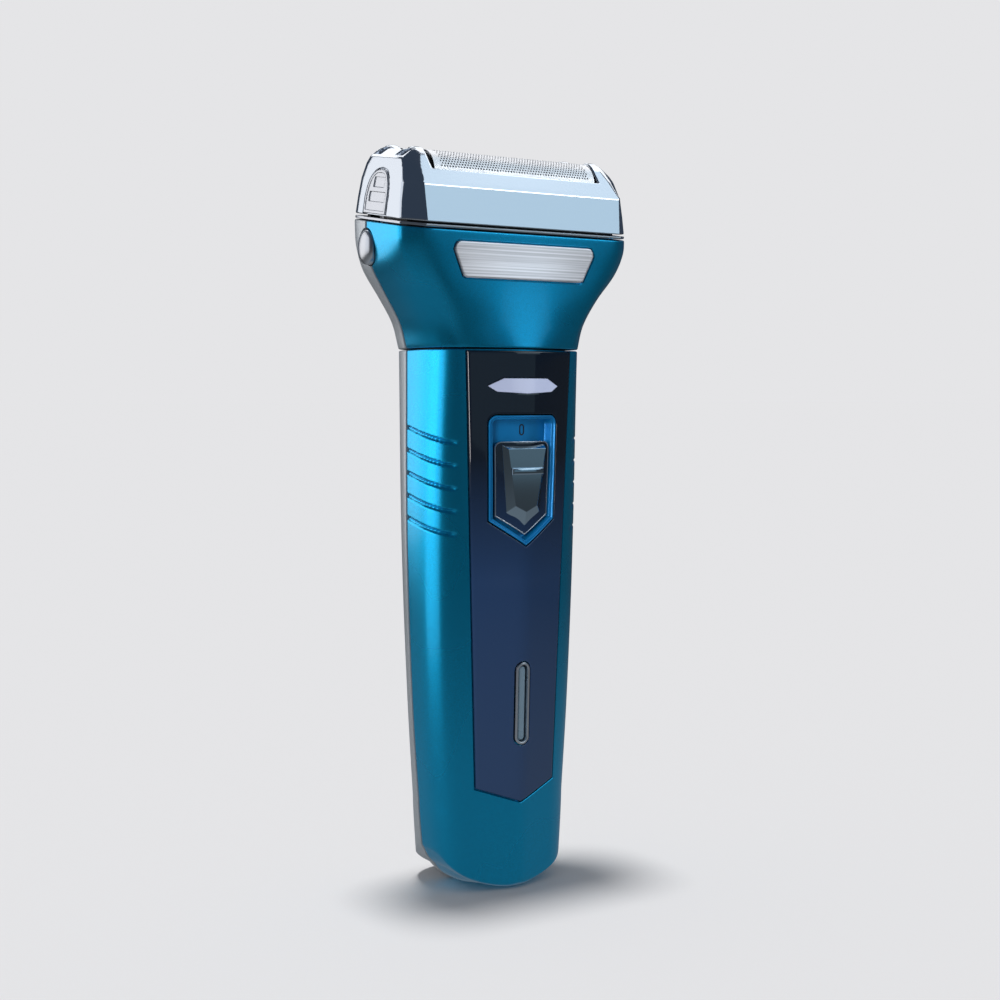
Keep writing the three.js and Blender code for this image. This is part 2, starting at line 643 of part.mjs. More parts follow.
function badgeOutline(grow) {
  return [
    [-BADGE.lowX - grow + 1, BADGE.low - grow], [BADGE.lowX + grow - 1, BADGE.low - grow],
    [BADGE.lowX + grow, BADGE.low + 0.7], [BADGE.wideX + grow, BADGE.wide],
    [BADGE.wideX - 0.3 + grow, BADGE.top - 0.7], [BADGE.topX + grow, BADGE.top + grow],
    [-BADGE.topX - grow, BADGE.top + grow], [-BADGE.wideX + 0.3 - grow, BADGE.top - 0.7],
    [-BADGE.wideX - grow, BADGE.wide], [-BADGE.lowX - grow, BADGE.low + 0.7],
  ];
}

function neckSkin(outline, outer, inner) {
  return common(cut(neckLoft(outer), neckLoft(inner)), prismY(outline, -FAR, -4));
}

function buttonPrism(grow, x0, x1) {
  const outline = steps(0, 2 * Math.PI, 18).slice(0, -1).map((a) => [
    BUTTON.y + (BUTTON.halfY + grow) * Math.cos(a),
    BUTTON.z + (BUTTON.halfZ + grow) * Math.sin(a),
  ]);
  return prismX(outline, x0, x1);
}

const NECK_SCREWS = [[-14.5, 133.2], [14.5, 133.2]];

function buildNeck() {
  const underHead = fromHead(box(-FAR, FAR, -FAR, FAR, -FAR, -1.2));
  const whole = common(neckLoft(0), underHead);
  const cavity = neckCavity();
  const buttonHoles = [buttonPrism(GAP, 20, 40), buttonPrism(GAP, -40, -20)];
  const bosses = NECK_SCREWS.map(([x, z]) => common(
    rodAlongY(2.5, x, z, -15, PART_Y - GAP / 2, 12),
    neckLoft(-1),
  ));
  piece('neck_front_shell', cut(
    join(common(cut(whole, cavity), inFront(PART_Y - GAP / 2)), ...bosses),
    ...buttonHoles,
    cut(prismY(badgeOutline(GAP), -FAR, -4), neckLoft(-0.95)),
    ...NECK_SCREWS.map(([x, z]) => rodAlongY(1.4, x, z, -8, 4, 10)),
  ), FINISH.bluePaint);
  piece('neck_rear_shell', cut(
    common(cut(whole, cavity), behind(PART_Y + GAP / 2)),
    ...buttonHoles,
    ...NECK_SCREWS.flatMap(([x, z]) => [
      rodAlongY(1.5, x, z, 0, 20, 8),
      rodAlongY(2.8, x, z, screwSeat(NECK, x, z), 24, 12),
    ]),
  ), FINISH.greyPlastic);
  piece('badge_plate', neckSkin(badgeOutline(0), 0.15, -0.65), FINISH.brushedBadge);
  NECK_SCREWS.forEach(([x, z], i) => piece(`neck_screw_${i + 1}`, screw(NECK, x, z, 14), FINISH.steel));
}

// ---------------------------------------------------------------- attachment: release buttons
function buildButtons() {
  [['left', -1], ['right', 1]].forEach(([side, sign]) => {
    const dome = new THREE.SphereGeometry(1, 14, 8);
    dome.rotateZ(Math.PI / 2);
    dome.scale(1.5, BUTTON.halfY, BUTTON.halfZ);
    dome.translate(30.5, BUTTON.y, BUTTON.z);
    const shape = join(
      buttonPrism(0, 25, 30.5),
      solid(dome),
      buttonPrism(0.8, 24.4, 25.5),
      box(25, 26.2, 0.6, 4.2, 146, 156.6),
      box(25, 28.2, 0.6, 4.2, 155.4, 156.6),
    );
    const seated = cut(shape, rodAlongX(1.2, BUTTON.y, BUTTON.z, 20, 25));
    const geometry = toGeometry(seated);
    if (sign < 0) mirrorX(geometry);
    piece(`${side}_release_button`, geometry, FINISH.satinSilver);
    const spring = coil(2.1, 0.3, 4.9, 4);
    spring.rotateY(Math.PI / 2);
    spring.translate(18.9, BUTTON.y, BUTTON.z);
    if (sign < 0) mirrorX(spring);
    piece(`${side}_button_spring`, spring, FINISH.steel);
  });
}

function rodAlongX(r, y, z, x0, x1) {
  const geometry = new THREE.CylinderGeometry(r, r, x1 - x0, 14);
  geometry.rotateZ(Math.PI / 2);
  geometry.translate((x0 + x1) / 2, y, z);
  return solid(geometry);
}

// Mirrors a geometry left to right and turns its faces back out
function mirrorX(geometry) {
  const flat = geometry.index ? geometry.toNonIndexed() : geometry;
  const p = flat.attributes.position.array;
  for (let t = 0; t < p.length; t += 9) {
    for (let c = 0; c < 3; c += 1) p[t + 3 * c] *= -1;
    for (let k = 0; k < 3; k += 1) [p[t + k], p[t + 3 + k]] = [p[t + 3 + k], p[t + k]];
  }
  geometry.index = null;
  geometry.setAttribute('position', new THREE.BufferAttribute(p, 3));
  geometry.deleteAttribute('uv');
  geometry.computeVertexNormals();
}

// ---------------------------------------------------------------- head: sections and shells
const HEAD_POWER = 5; // squareness of the rear of the head

function headSection(z) {
  const at = (name) => along(HEAD[name], z);
  const bulge = 0.3;
  const half = [
    [0, -at('frontY')],
    [at('frontX'), -at('frontY')],
    [at('halfWidth'), -at('cornerY')],
    [at('halfWidth') + bulge, -at('cornerY') * 0.5],
  ];
  steps(0, Math.PI / 2, 5).forEach((a) => {
    half.push([
      (at('halfWidth') + bulge) * Math.max(0, Math.cos(a)) ** (2 / HEAD_POWER),
      SECTION_Y + at('rear') * Math.sin(a) ** (2 / HEAD_POWER),
    ]);
  });
  half[half.length - 1][0] = 0;
  return mirrored(half);
}

function headLoft(offset, levels) {
  return loft(levels.map((z) => inset(headSection(Math.max(0, z)), -offset).map(([x, y]) => [x, y, z])));
}

// The two humps seen from the side
const HUMPS = [
  [-30, -2], [-30, 14], [-9.6, 14], [-7.6, 15.1], [-6.2, 15.75], [-5, 15.9], [-3.7, 15.5], [-2, 14.5],
  [0, 13.3], [2, 14.5], [3.7, 15.5], [5, 15.9], [6.2, 15.75], [7.6, 15.1], [9.6, 14], [30, 14], [30, -2],
];
// The shoulders seen from the front
const SHOULDERS = [[-40, -2], [40, -2], [40, 13.2], [28.2, 13.2], [24.2, 16.2], [-24.2, 16.2], [-28.2, 13.2], [-40, 13.2]];

const INSERT = { y: -0.9, half: 5, top: 10.3, low: 0.5 };

function ogive(grow) {
  const { y, half, top, low } = INSERT;
  const side = (sign) => steps(0, 1, 5).map((t) => [
    y + sign * (half + grow) * Math.cos((t * Math.PI) / 2) ** 0.75,
    low - grow + 3 + (top - low - 3 + 2 * grow) * Math.sin((t * Math.PI) / 2),
  ]);
  return [[y - half - grow, low - grow], [y + half + grow, low - grow], ...side(1), ...side(-1).reverse().slice(1)];
}

function foilFrame() {
  const outer = common(
    headLoft(0, [0.15, 4, 8.4, 11.5, 13.6, 16]),
    prismX(HUMPS, -40, 40),
    prismY(SHOULDERS, -30, 30),
  );
  const inner = headLoft(-1.5, [-1, 4, 8.4, 11.3]);
  const slot = prismX([
    [-11.35, -2], [11.35, -2], [11.35, 9.1], [11.05, 11.2], [11.6, 20],
    [-11.6, 20], [-11.05, 11.2], [-11.35, 9.1],
  ], -SLOT_HALF, SLOT_HALF);
  const windows = [-1, 1].flatMap((sx) => [-1, 1].map((sy) => {
    const geometry = new THREE.BoxGeometry(3.2, 4.6, 1.6);
    geometry.rotateY(sx * 0.64);
    geometry.translate(sx * 26.3, sy * 5.4, 14.7);
    return solid(geometry);
  }));
  const pockets = [[-40, -20], [20, 40]].map(([x0, x1]) => cut(
    prismX(ogive(GAP), x0, x1),
    headLoft(-0.8, [-3, 0, 4, 8.4, 11.5, 13.6, 16]),
  ));
  return cut(outer, inner, slot, ...windows, ...pockets);
}

function endInsert(sign) {
  const layer = cut(
    headLoft(0.15, [-1, 0, 4, 8.4, 11.5, 13.6]),
    headLoft(-0.5, [-3, 0, 4, 8.4, 11.5, 13.6, 16]),
  );
  const x = [15 * sign, 40 * sign].sort((a, b) => a - b);
  const recess = (y0, y1, z0, z1) => cut(
    prismX([[y0, z0], [y1, z0], [y1, z1], [y0, z1]], x[0], x[1]),
    headLoft(-0.25, [-3, 0, 4, 8.4, 11.5, 13.6, 16]),
  );
  return cut(
    common(layer, prismX(ogive(0), x[0], x[1])),
    recess(INSERT.y - 2.6, INSERT.y + 2.2, 6.4, 8.6),
    recess(INSERT.y - 3.6, INSERT.y + 3.4, 3.2, 5.3),
  );
}

function foilArc(r, from, to, count) {
  return steps(from, to, count).map((deg) => {
    const a = THREE.MathUtils.degToRad(deg);
    return [r * Math.cos(a), r * Math.sin(a)];
  });
}

// A thin arched sheet; sign is -1 for the front foil and 1 for the rear one
function foil(sign) {
  const thickness = 0.3;
  const outer = foilArc(FOIL_R, 26, 163, 12);
  const inner = foilArc(FOIL_R - thickness, 26, 163, 12).reverse();
  const outline = [...outer, ...inner].map(([y, z]) => [sign * (FOIL_Y - y), FOIL_Z + z]);
  return prismX(sign > 0 ? outline : outline.reverse(), -FOIL_HALF, FOIL_HALF);
}

function foilHolder() {
  const endProfile = [
    [-11.05, 6.4], [-10.4, 11.2], [-8.6, 13.6], [-5.3, 14.8], [-2.2, 13.7], [-0.7, 11.8], [0, 11.4],
    [0.7, 11.8], [2.2, 13.7], [5.3, 14.8], [8.6, 13.6], [10.4, 11.2], [11.05, 6.4],
  ];
  return join(
    prismX(endProfile, -22.1, -21.0 + 0.1),
    prismX(endProfile, 21.0 - 0.1, 22.1),
    box(-22.1, 22.1, -11.05, -10.4, 6.4, 8.8),
    box(-22.1, 22.1, 10.4, 11.05, 6.4, 8.8),
    box(-22.1, 22.1, -0.22, 0.22, 6.4, 11.2),
  );
}

const BLADES = { r: 4.9, half: 18.9, count: 11, thick: 0.6 };

function cutterBlades(sign) {
  const y = sign * FOIL_Y;
  const arch = (radius, from) => foilArc(radius, from, 180 - from, 8).map(([dy, dz]) => [y + dy, FOIL_Z + dz]);
  const core = prismX([[y - 3.1, 7.2], [y + 3.1, 7.2], ...arch(3.4, 24)], -BLADES.half - 0.3, BLADES.half + 0.3);
  const blades = steps(-BLADES.half, BLADES.half, BLADES.count - 1).map(
    (x) => prismX(arch(BLADES.r, -28), x - BLADES.thick / 2, x + BLADES.thick / 2),
  );
  return join(core, ...blades);
}

function cutterCarrier(sign) {
  const y = sign * FOIL_Y;
  return cut(
    box(-18.6, 18.6, y - 3, y + 3, 3.9, 6.9),
    rod(1.5, 0, y, 3, 6.5, 14),
    box(-14, -5, y - 1.8, y + 1.8, 3, 5.6),
    box(5, 14, y - 1.8, y + 1.8, 3, 5.6),
  );
}

// ---------------------------------------------------------------- head: chassis and oscillator
// The same box on the left and on the right
function onBothSides(x0, x1, ...rest) {
  return [box(-x1, -x0, ...rest), box(x0, x1, ...rest)];
}

function chassis() {
  const plate = headLoft(-2.6, [-3, 1]);
  const window = box(-18.6, 18.6, -8.7, 8.7, -5, 3);
  const notches = onBothSides(22.6, 31, -1, 6, -5, 3);
  const springSeats = onBothSides(16.6, 18.2, -0.8, 5.6, -10.6, -2);
  const bridges = onBothSides(16.6, 22, -0.8, 5.6, -3, -2.2);
  return join(cut(plate, window, ...notches), ...springSeats, ...bridges);
}

function oscillatorBridge() {
  const upper = join(
    box(-17.4, 17.4, -7.9, 7.9, -1.5, 0.9),
    rod(1.2, 0, -FOIL_Y, 0.5, 5, 14),
    rod(1.2, 0, FOIL_Y, 0.5, 5, 14),
    box(-19.9, 19.9, -9, 1, -12.4, -11.2),
    box(-4.4, 4.4, -3, 6, -12.4, -1),
  );
  const slotHalf = 1 + 2 * ECCENTRIC + 0.15;
  const fork = cut(
    box(-4.4, 4.4, MOTOR_Y - 4, MOTOR_Y + 4, 137.4, 144),
    box(-slotHalf, slotHalf, MOTOR_Y - 2.9, MOTOR_Y + 2.9, 136, 142),
  );
  return join(fromHead(upper), fork);
}

function buildHead() {
  piece('trim_ring', cut(headLoft(0, [-0.9, -0.3]), headLoft(-2.2, [-2, 1])), FINISH.satinSilver, head);
  piece('head_chassis', chassis(), FINISH.blackPlastic, head);
  [['left', -1], ['right', 1]].forEach(([side, s]) => {
    piece(`${side}_flex_leg`, box(s * 20.5 - 0.3, s * 20.5 + 0.3, -8.6, -3.4, -12.4, -3.3), FINISH.steel, head);
    piece(`${side}_end_insert`, endInsert(s), FINISH.satinSilver, head);
  });
  piece('oscillator_bridge', oscillatorBridge(), FINISH.whitePlastic);
  piece('foil_frame', foilFrame(), FINISH.chrome, head);
  piece('foil_holder', foilHolder(), FINISH.blackPlastic, head);
  [['front', -1], ['rear', 1]].forEach(([place, sign]) => {
    piece(`${place}_foil`, foil(sign), FINISH.steel, head);
    piece(`${place}_cutter_blades`, cutterBlades(sign), FINISH.steel, head);
    piece(`${place}_cutter_carrier`, cutterCarrier(sign), FINISH.blackPlastic, head);
    const spring = piece(`${place}_cutter_spring`, coil(1.9, 0.25, 1.9, 3), FINISH.steel, head);
    spring.position.set(0, sign * FOIL_Y, 1.5);
  });
}

// ---------------------------------------------------------------- assembly
function buildHandle() {
  const whole = handleSolid();
  const cavity = handleCavity();
  piece('front_shell', frontShell(whole, cavity), FINISH.bluePaint);
  piece('rear_shell', rearShell(whole, cavity), FINISH.greyPlastic);
  piece('front_panel', frontPanel(), FINISH.glossBlack);
  piece('panel_inlay', skin(inlayOutline(0), PANEL_PROUD + 0.05, -0.2), FINISH.inlay);
  piece('switch_well', switchWell(), FINISH.deepBlue);
  piece('charge_light_bezel', lightBezel(), FINISH.satinSilver);
  piece('charge_light_lens', skin(
    stadium(LIGHT.halfX - 0.95, LIGHT.low + 0.95, LIGHT.high - 0.95),
    0.05,
    -PANEL_DEPTH,
  ), FINISH.lens);
  piece('switch_slider', slider(), FINISH.sliderGloss);
  piece('switch_actuator', box(-1, 1, -13.6, -11, 92.5, 95.5), FINISH.blackPlastic);
}

buildHandle();
buildHandleInside();
buildCoupling();
buildRotor();
buildNeck();
buildButtons();
buildHead();

export default shaver;
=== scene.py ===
# %% [markdown]
# # A twin-foil electric shaver
#
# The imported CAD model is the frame: it says where every piece sits and how it moves. This file
# gives each visible piece its finished shape and surface. Big moulded shells are lofted from
# plan sections, plates that sit in them are cut from the same surface, the plated head is made
# from a distance field with rounded edges, and small hidden pieces keep their CAD shape and get
# a proper finish.

# %% Load the frame
import json
import math

import bmesh
import bpy
import numpy as np
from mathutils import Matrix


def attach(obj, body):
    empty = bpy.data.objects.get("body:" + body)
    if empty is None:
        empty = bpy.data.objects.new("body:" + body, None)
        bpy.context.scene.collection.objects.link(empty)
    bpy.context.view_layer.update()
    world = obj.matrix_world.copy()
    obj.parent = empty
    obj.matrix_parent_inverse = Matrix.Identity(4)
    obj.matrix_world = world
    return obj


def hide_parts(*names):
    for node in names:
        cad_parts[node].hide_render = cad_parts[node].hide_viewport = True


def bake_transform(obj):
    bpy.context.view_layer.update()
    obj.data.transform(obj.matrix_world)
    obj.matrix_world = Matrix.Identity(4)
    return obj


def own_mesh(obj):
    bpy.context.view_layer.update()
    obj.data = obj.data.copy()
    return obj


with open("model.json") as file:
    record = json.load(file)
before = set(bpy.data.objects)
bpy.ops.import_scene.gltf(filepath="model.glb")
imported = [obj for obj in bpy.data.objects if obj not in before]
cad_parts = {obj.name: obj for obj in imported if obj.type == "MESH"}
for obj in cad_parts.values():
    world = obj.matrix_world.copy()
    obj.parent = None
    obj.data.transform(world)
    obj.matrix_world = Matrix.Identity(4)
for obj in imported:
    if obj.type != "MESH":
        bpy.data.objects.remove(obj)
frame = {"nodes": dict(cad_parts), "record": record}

import openvdb
from mathutils import Vector
from mathutils.geometry import delaunay_2d_cdt

scene = bpy.context.scene
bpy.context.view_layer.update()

# %% [markdown]
# ## The camera
#
# A portrait of a small object is taken from a little more than twice its height away, slightly
# above its middle and turned to show the front and the left side together. A longer lens from
# further off would flatten the head, and a wider one would make it loom over the handle. The
# Standard view transform keeps the pale backdrop and the strong blue as they are set.

# %% Place the camera
VIEW_TURN = math.radians(33)
VIEW_DIP = math.radians(3.6)
SENSOR = 36
LENS = 57.6
CAMERA_AT = (-0.20207, -0.31647, 0.1128)
camera_data = bpy.data.cameras.new("camera")
camera_data.sensor_width = SENSOR
camera_data.lens = LENS
camera = bpy.data.objects.new("camera", camera_data)
camera.location = CAMERA_AT
view_direction = Vector((
    math.sin(VIEW_TURN) * math.cos(VIEW_DIP),
    math.cos(VIEW_TURN) * math.cos(VIEW_DIP),
    -math.sin(VIEW_DIP),
))
camera.rotation_euler = view_direction.to_track_quat("-Z", "Y").to_euler()
scene.collection.objects.link(camera)
scene.camera = camera
scene.view_settings.view_transform = "Standard"
print("camera at", [round(v, 3) for v in camera.location])

# %% [markdown]
# ## The record's names
#
# The record says which body carries each CAD node and which finish it wears. Reading both here
# means that no later cell repeats them, and a piece can never ride on the wrong body.

# %% Names, bodies and finishes
MM = 0.001
GAP = 0.3  # clearance between fitted pieces
SMOOTH_ANGLE = math.radians(34)
finishes = {}  # material of each record slot, filled in further down
pieces = []
body_of_node = {
    node: body for body, nodes in frame["record"]["behaviour"]["bodies"].items() for node in nodes
}
slot_of_node = {
    entry["node"]: entry["material_slot"] for entry in frame["record"]["subparts"]
}

# %% [markdown]
# ## Turning points into pieces
#
# Shapes are worked out in millimetres as arrays of points and become Blender meshes here. They
# could be modelled with edit-mode operators, but points from a formula are easier to change and
# always give the same mesh. Weighted normals keep the flat faces of plates flat to the eye, while
# the narrow rounds beside them still take a highlight.

# %% Making a mesh and giving it to its body


def make_mesh(name, points, faces, join_distance=1e-3):
    """A mesh object from points in millimetres, with doubled points joined."""
    mesh = bpy.data.meshes.new(name)
    mesh.from_pydata((np.asarray(points, float) * MM).tolist(), [], [list(map(int, f)) for f in faces])
    work = bmesh.new()
    work.from_mesh(mesh)
    bmesh.ops.remove_doubles(work, verts=work.verts, dist=join_distance * MM)
    bmesh.ops.dissolve_degenerate(work, edges=work.edges, dist=0.5 * join_distance * MM)
    bmesh.ops.recalc_face_normals(work, faces=work.faces)
    work.to_mesh(mesh)
    work.free()
    piece = bpy.data.objects.new(name, mesh)
    scene.collection.objects.link(piece)
    return piece


def shade(piece, angle=SMOOTH_ANGLE):
    """Smooth shading that keeps real edges sharp."""
    piece.data.shade_smooth()
    piece.data.set_sharp_from_angle(angle=angle)


def apply_modifier(piece, modifier):
    """Apply one modifier to the piece."""
    graph = bpy.context.evaluated_depsgraph_get()
    graph.update()
    mesh = bpy.data.meshes.new_from_object(piece.evaluated_get(graph))
    piece.modifiers.remove(modifier)
    old = piece.data
    piece.data = mesh
    bpy.data.meshes.remove(old)


def settle(piece, node, angle=SMOOTH_ANGLE, finish=None):
    """Make a finished piece ride on a CAD node's body and wear its finish. Unless it has a finish
    of its own, it also stands for the node."""
    if angle is not None:
        shade(piece, angle)
        flatten = piece.modifiers.new("flat faces", "WEIGHTED_NORMAL")
        flatten.keep_sharp = True
        apply_modifier(piece, flatten)
    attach(piece, body_of_node[node])
    if finish is None:
        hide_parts(node)
        finish = slot_of_node[node]
    piece["finish"] = finish
    pieces.append(piece)
    print(f"{piece.name}: {len(piece.data.polygons)} faces")
    return piece


print("edges stay sharp above", round(math.degrees(SMOOTH_ANGLE)), "degrees")

# %% [markdown]
# ## Cutting and rounding
#
# Pockets, holes and screw recesses are cut with closed shapes, as a mould's inserts would leave
# them. The exact solver is slower than the fast one, but it copes with faces that almost touch.

# %% Cutting and rounding


def carve(piece, cutters):
    """Cut closed shapes out of a piece."""
    for cutter in cutters:
        modifier = piece.modifiers.new("carve", "BOOLEAN")
        modifier.operation = "DIFFERENCE"
        modifier.solver = "EXACT"
        modifier.object = cutter
        apply_modifier(piece, modifier)
        bpy.data.objects.remove(cutter)


def round_edges(piece, width, segments=2, angle=35):
    """Round the sharp edges of a small piece."""
    modifier = piece.modifiers.new("round", "BEVEL")
    modifier.width = width * MM
    modifier.segments = segments
    modifier.limit_method = "ANGLE"
    modifier.angle_limit = math.radians(angle)
    modifier.harden_normals = False
    apply_modifier(piece, modifier)


print("clearance between fitted pieces", GAP, "mm")

# %% [markdown]
# ## Turned and boxed shapes
#
# Screws, pins, shafts and buttons are all profiles carried round an axis, and stems and arms are
# boxes. Blender's Screw modifier and cube could make them, but then every one would also need
# its own placing; here the points come out where they belong.

# %% Turned and boxed shapes


def grid_faces(rows, columns):
    """Quads of a grid whose rows close on themselves."""
    return [
        (r * columns + c, r * columns + (c + 1) % columns,
         (r + 1) * columns + (c + 1) % columns, (r + 1) * columns + c)
        for r in range(rows - 1) for c in range(columns)
    ]


def turned(profile, centre, axis="z", segments=40, stretch=(1, 1)):
    """Points and faces of a profile [(radius, height), ...] turned round an axis through centre."""
    turn = np.linspace(0, 2 * np.pi, segments, endpoint=False)
    rings = []
    for radius, height in profile:
        a = radius * np.cos(turn) * stretch[0]
        b = radius * np.sin(turn) * stretch[1]
        h = np.full(segments, float(height))
        rings.append(np.stack({"z": (a, b, h), "y": (a, h, b), "x": (h, a, b)}[axis], -1))
    points = np.concatenate(rings) + np.asarray(centre, float)
    return points, grid_faces(len(profile), segments)


def block(low, high, radius=0.0):
    """A box between two corners in millimetres, with its edges rounded."""
    (x0, y0, z0), (x1, y1, z1) = low, high
    points = [(x, y, z) for x in (x0, x1) for y in (y0, y1) for z in (z0, z1)]
    faces = [(0, 1, 3, 2), (4, 6, 7, 5), (0, 4, 5, 1), (2, 3, 7, 6), (0, 2, 6, 4), (1, 5, 7, 3)]
    piece = make_mesh("block", points, faces)
    if radius:
        round_edges(piece, radius)
    return piece


def merge(pieces_to_join, name):
    """Join several mesh objects into one."""
    work = bmesh.new()
    for piece in pieces_to_join:
        work.from_mesh(piece.data)
    mesh = bpy.data.meshes.new(name)
    work.to_mesh(mesh)
    work.free()
    for piece in pieces_to_join:
        bpy.data.objects.remove(piece)
    joined = bpy.data.objects.new(name, mesh)
    scene.collection.objects.link(joined)
    return joined


print("faces of a tube with 40 sides", len(turned([(1, 0), (1, 1)], (0, 0, 0))[1]))

# %% [markdown]
# ## The sections of handle and neck
#
# Seen from above, each section has a shallow ridge in front, a narrow facet beside the panel and
# rounded sides. A handful of heights with their widths and depths describe the whole handle, and
# a smooth curve runs between them. A subdivided cage could give a similar form, but its edges
# would not stay on the parting plane, where two shells have to meet.

# %% Section tables
PART_Y = 2.4  # plane where front and rear shells meet
HANDLE_TOP = 124
SECTION_Y = 0.74
HEAD_TILT = math.radians(9)
HEAD_ORIGIN = 153.5
HANDLE = {
    "width": [(0, 16.6), (12, 17.2), (42, 19.3), (80, 20.6), (124, 20.55)],
    "ridge": [(0, 13.5), (20, 14.15), (42, 14.9), (80, 16.2), (124, 16.9)],
    "panel_x": [(0, 10.2), (24, 10.9), (124, 14.4)],
    "panel_y": [(0, 11.2), (24, 11.4), (124, 13.3)],
    "crease_x": [(0, 12.2), (24, 12.95), (124, 16.5)],
    "crease_y": [(0, 10.25), (24, 10.45), (124, 12.37)],
    "rear": [(0, 12.6), (12, 12.6), (42, 12.0), (80, 12.9), (124, 14.8)],
}
NECK = {
    "width": [(124, 20.55), (130, 22.3), (136, 25.8), (142, 29.2), (147, 30.5), (151, 30.8), (158, 30.8)],
    "ridge": [(124, 16.9), (130, 16.4), (136, 16.2), (142, 16.3), (147, 16.55), (151, 16.9), (158, 17.9)],
    "panel_x": [(124, 14.4), (130, 17.0), (136, 20.4), (142, 24.0), (147, 26.0), (151, 26.2), (158, 26.2)],
    "panel_y": [(124, 13.3), (130, 13.9), (136, 14.7), (142, 15.4), (147, 16.1), (151, 16.65), (158, 17.7)],
    "crease_x": [(124, 16.5), (130, 19.1), (136, 23.2), (142, 28.0), (147, 30.2), (151, 30.5), (158, 30.5)],
    "crease_y": [(124, 12.37), (130, 11.5), (136, 11.4), (142, 12.2), (147, 12.7), (151, 12.7), (158, 12.7)],
    "rear": [(124, 14.8), (130, 14.4), (136, 13.9), (142, 13.3), (148, 12.7), (158, 12.6)],
}
REAR_POWER = [(124, 2.6), (136, 3.0), (148, 4.8), (152, 5)]
EDGE = 0.35  # radius of the moulded edges along each parting line
EDGE_STEPS = (0.35, 0.22, 0.12, 0.05, 0.015, 0.0)  # distances from the edge
print("the handle is given at", len(HANDLE["width"]), "heights and the neck at", len(NECK["width"]))

# %% [markdown]
# ## Curves through the tables
#
# A cubic through the listed heights keeps the side of the handle fair: straight lines between
# them would show as bands in the paint. The moulded edges fall back on a quarter circle.

# %% Curves


def along(table, at):
    """Smooth curve through (at, value) pairs."""
    xs, ys = np.array(table, float).T
    slopes = np.gradient(ys, xs) if len(xs) > 2 else np.full(2, (ys[1] - ys[0]) / (xs[1] - xs[0]))
    for k in range(1, len(xs) - 1):
        slopes[k] = (ys[k + 1] - ys[k - 1]) / (xs[k + 1] - xs[k - 1])
    at = np.clip(at, xs[0], xs[-1])
    k = np.clip(np.searchsorted(xs, at) - 1, 0, len(xs) - 2)
    h = xs[k + 1] - xs[k]
    t = (at - xs[k]) / h
    return ((2 * t**3 - 3 * t**2 + 1) * ys[k] + (t**3 - 2 * t**2 + t) * h * slopes[k]
            + (3 * t**2 - 2 * t**3) * ys[k + 1] + (t**3 - t**2) * h * slopes[k + 1])


def soften(points, passes):
    """Round the corners of an open line of points, keeping its ends."""
    points = points.copy()
    for _ in range(passes):
        points[1:-1] = 0.25 * points[:-2] + 0.5 * points[1:-1] + 0.25 * points[2:]
    return points


def edge_sink(distance):
    """How far a rounded edge falls back at a distance from the edge."""
    reach = np.clip(EDGE - np.asarray(distance, float), 0, EDGE)
    return EDGE - np.sqrt(EDGE**2 - reach**2)


print("handle width at the switch", round(float(along(HANDLE["width"], 95)) * 2, 1), "mm")

# %% [markdown]
# ## Plan outlines
#
# One function draws the front half at any height and one draws the rear half. Superellipses give
# the full, slightly boxy sides that a hand-held tool has; a plain ellipse looks too thin. The
# ridge is sharp near the foot and softens towards the top.

# %% Plan outlines


def front_line(tables, z, y_end):
    """Plan outline of the front half at height z, from the left parting edge to the right one."""
    at = {name: float(along(table, z)) for name, table in tables.items()}
    t = np.linspace(0, 1, 17)
    softness = 0.03 + 0.3 * min(1, max(0, z - 70) / 25)
    rounded = (np.sqrt(t**2 + softness**2) - softness) / (math.sqrt(1 + softness**2) - softness)
    fall = at["ridge"] - at["panel_y"]
    front = np.c_[t * at["panel_x"], -(at["ridge"] - 0.92 * fall * rounded - 0.08 * fall * rounded**2)]
    s = np.linspace(0, 1, 7)[1:, None]
    corner = np.array([at["panel_x"], -at["panel_y"]])
    crease = np.array([at["crease_x"], -at["crease_y"]])
    facet = corner * (1 - s) + crease * s
    share = 1 - (at["crease_x"] / at["width"]) ** 3
    reach = (SECTION_Y + at["crease_y"]) / share ** (1 / 3)
    start = math.asin(((SECTION_Y + at["crease_y"]) / reach) ** 1.5)
    a = start * np.linspace(1, 0, 27)[1:] ** 1.5
    side = np.c_[at["width"] * np.cos(a) ** (2 / 3), SECTION_Y - reach * np.sin(a) ** (2 / 3)]
    power = float(along(REAR_POWER, z))
    ys = np.concatenate([
        np.linspace(SECTION_Y, y_end - EDGE, 4)[1:-1],
        y_end - np.array(EDGE_STEPS),
    ])
    rear = np.c_[at["width"] * (1 - ((ys - SECTION_Y) / at["rear"]) ** power) ** (1 / power), ys]
    half = np.concatenate([front, facet, side, rear])
    whole = np.concatenate([half[:0:-1] * (-1, 1), half])
    return soften(whole, 4)


def rear_line(tables, z, y_start):
    """Plan outline of the rear half at height z, from the right parting edge to the left one."""
    at = {name: float(along(table, z)) for name, table in tables.items()}
    power = float(along(REAR_POWER, z))
    a = np.linspace(0, math.pi / 2, 500)
    x = at["width"] * np.cos(a) ** (2 / power)
    y = SECTION_Y + at["rear"] * np.sin(a) ** (2 / power)
    run = np.concatenate([[0], np.cumsum(np.hypot(np.diff(x), np.diff(y)))])
    first = np.interp(y_start, y, run)
    at_run = np.concatenate([first + np.array(EDGE_STEPS[::-1]), np.linspace(first + 0.9, run[-1], 38)])
    half = np.c_[np.interp(at_run, run, x), np.interp(at_run, run, y)]
    half[-1, 0] = 0
    return np.concatenate([half, half[-2::-1] * (-1, 1)])


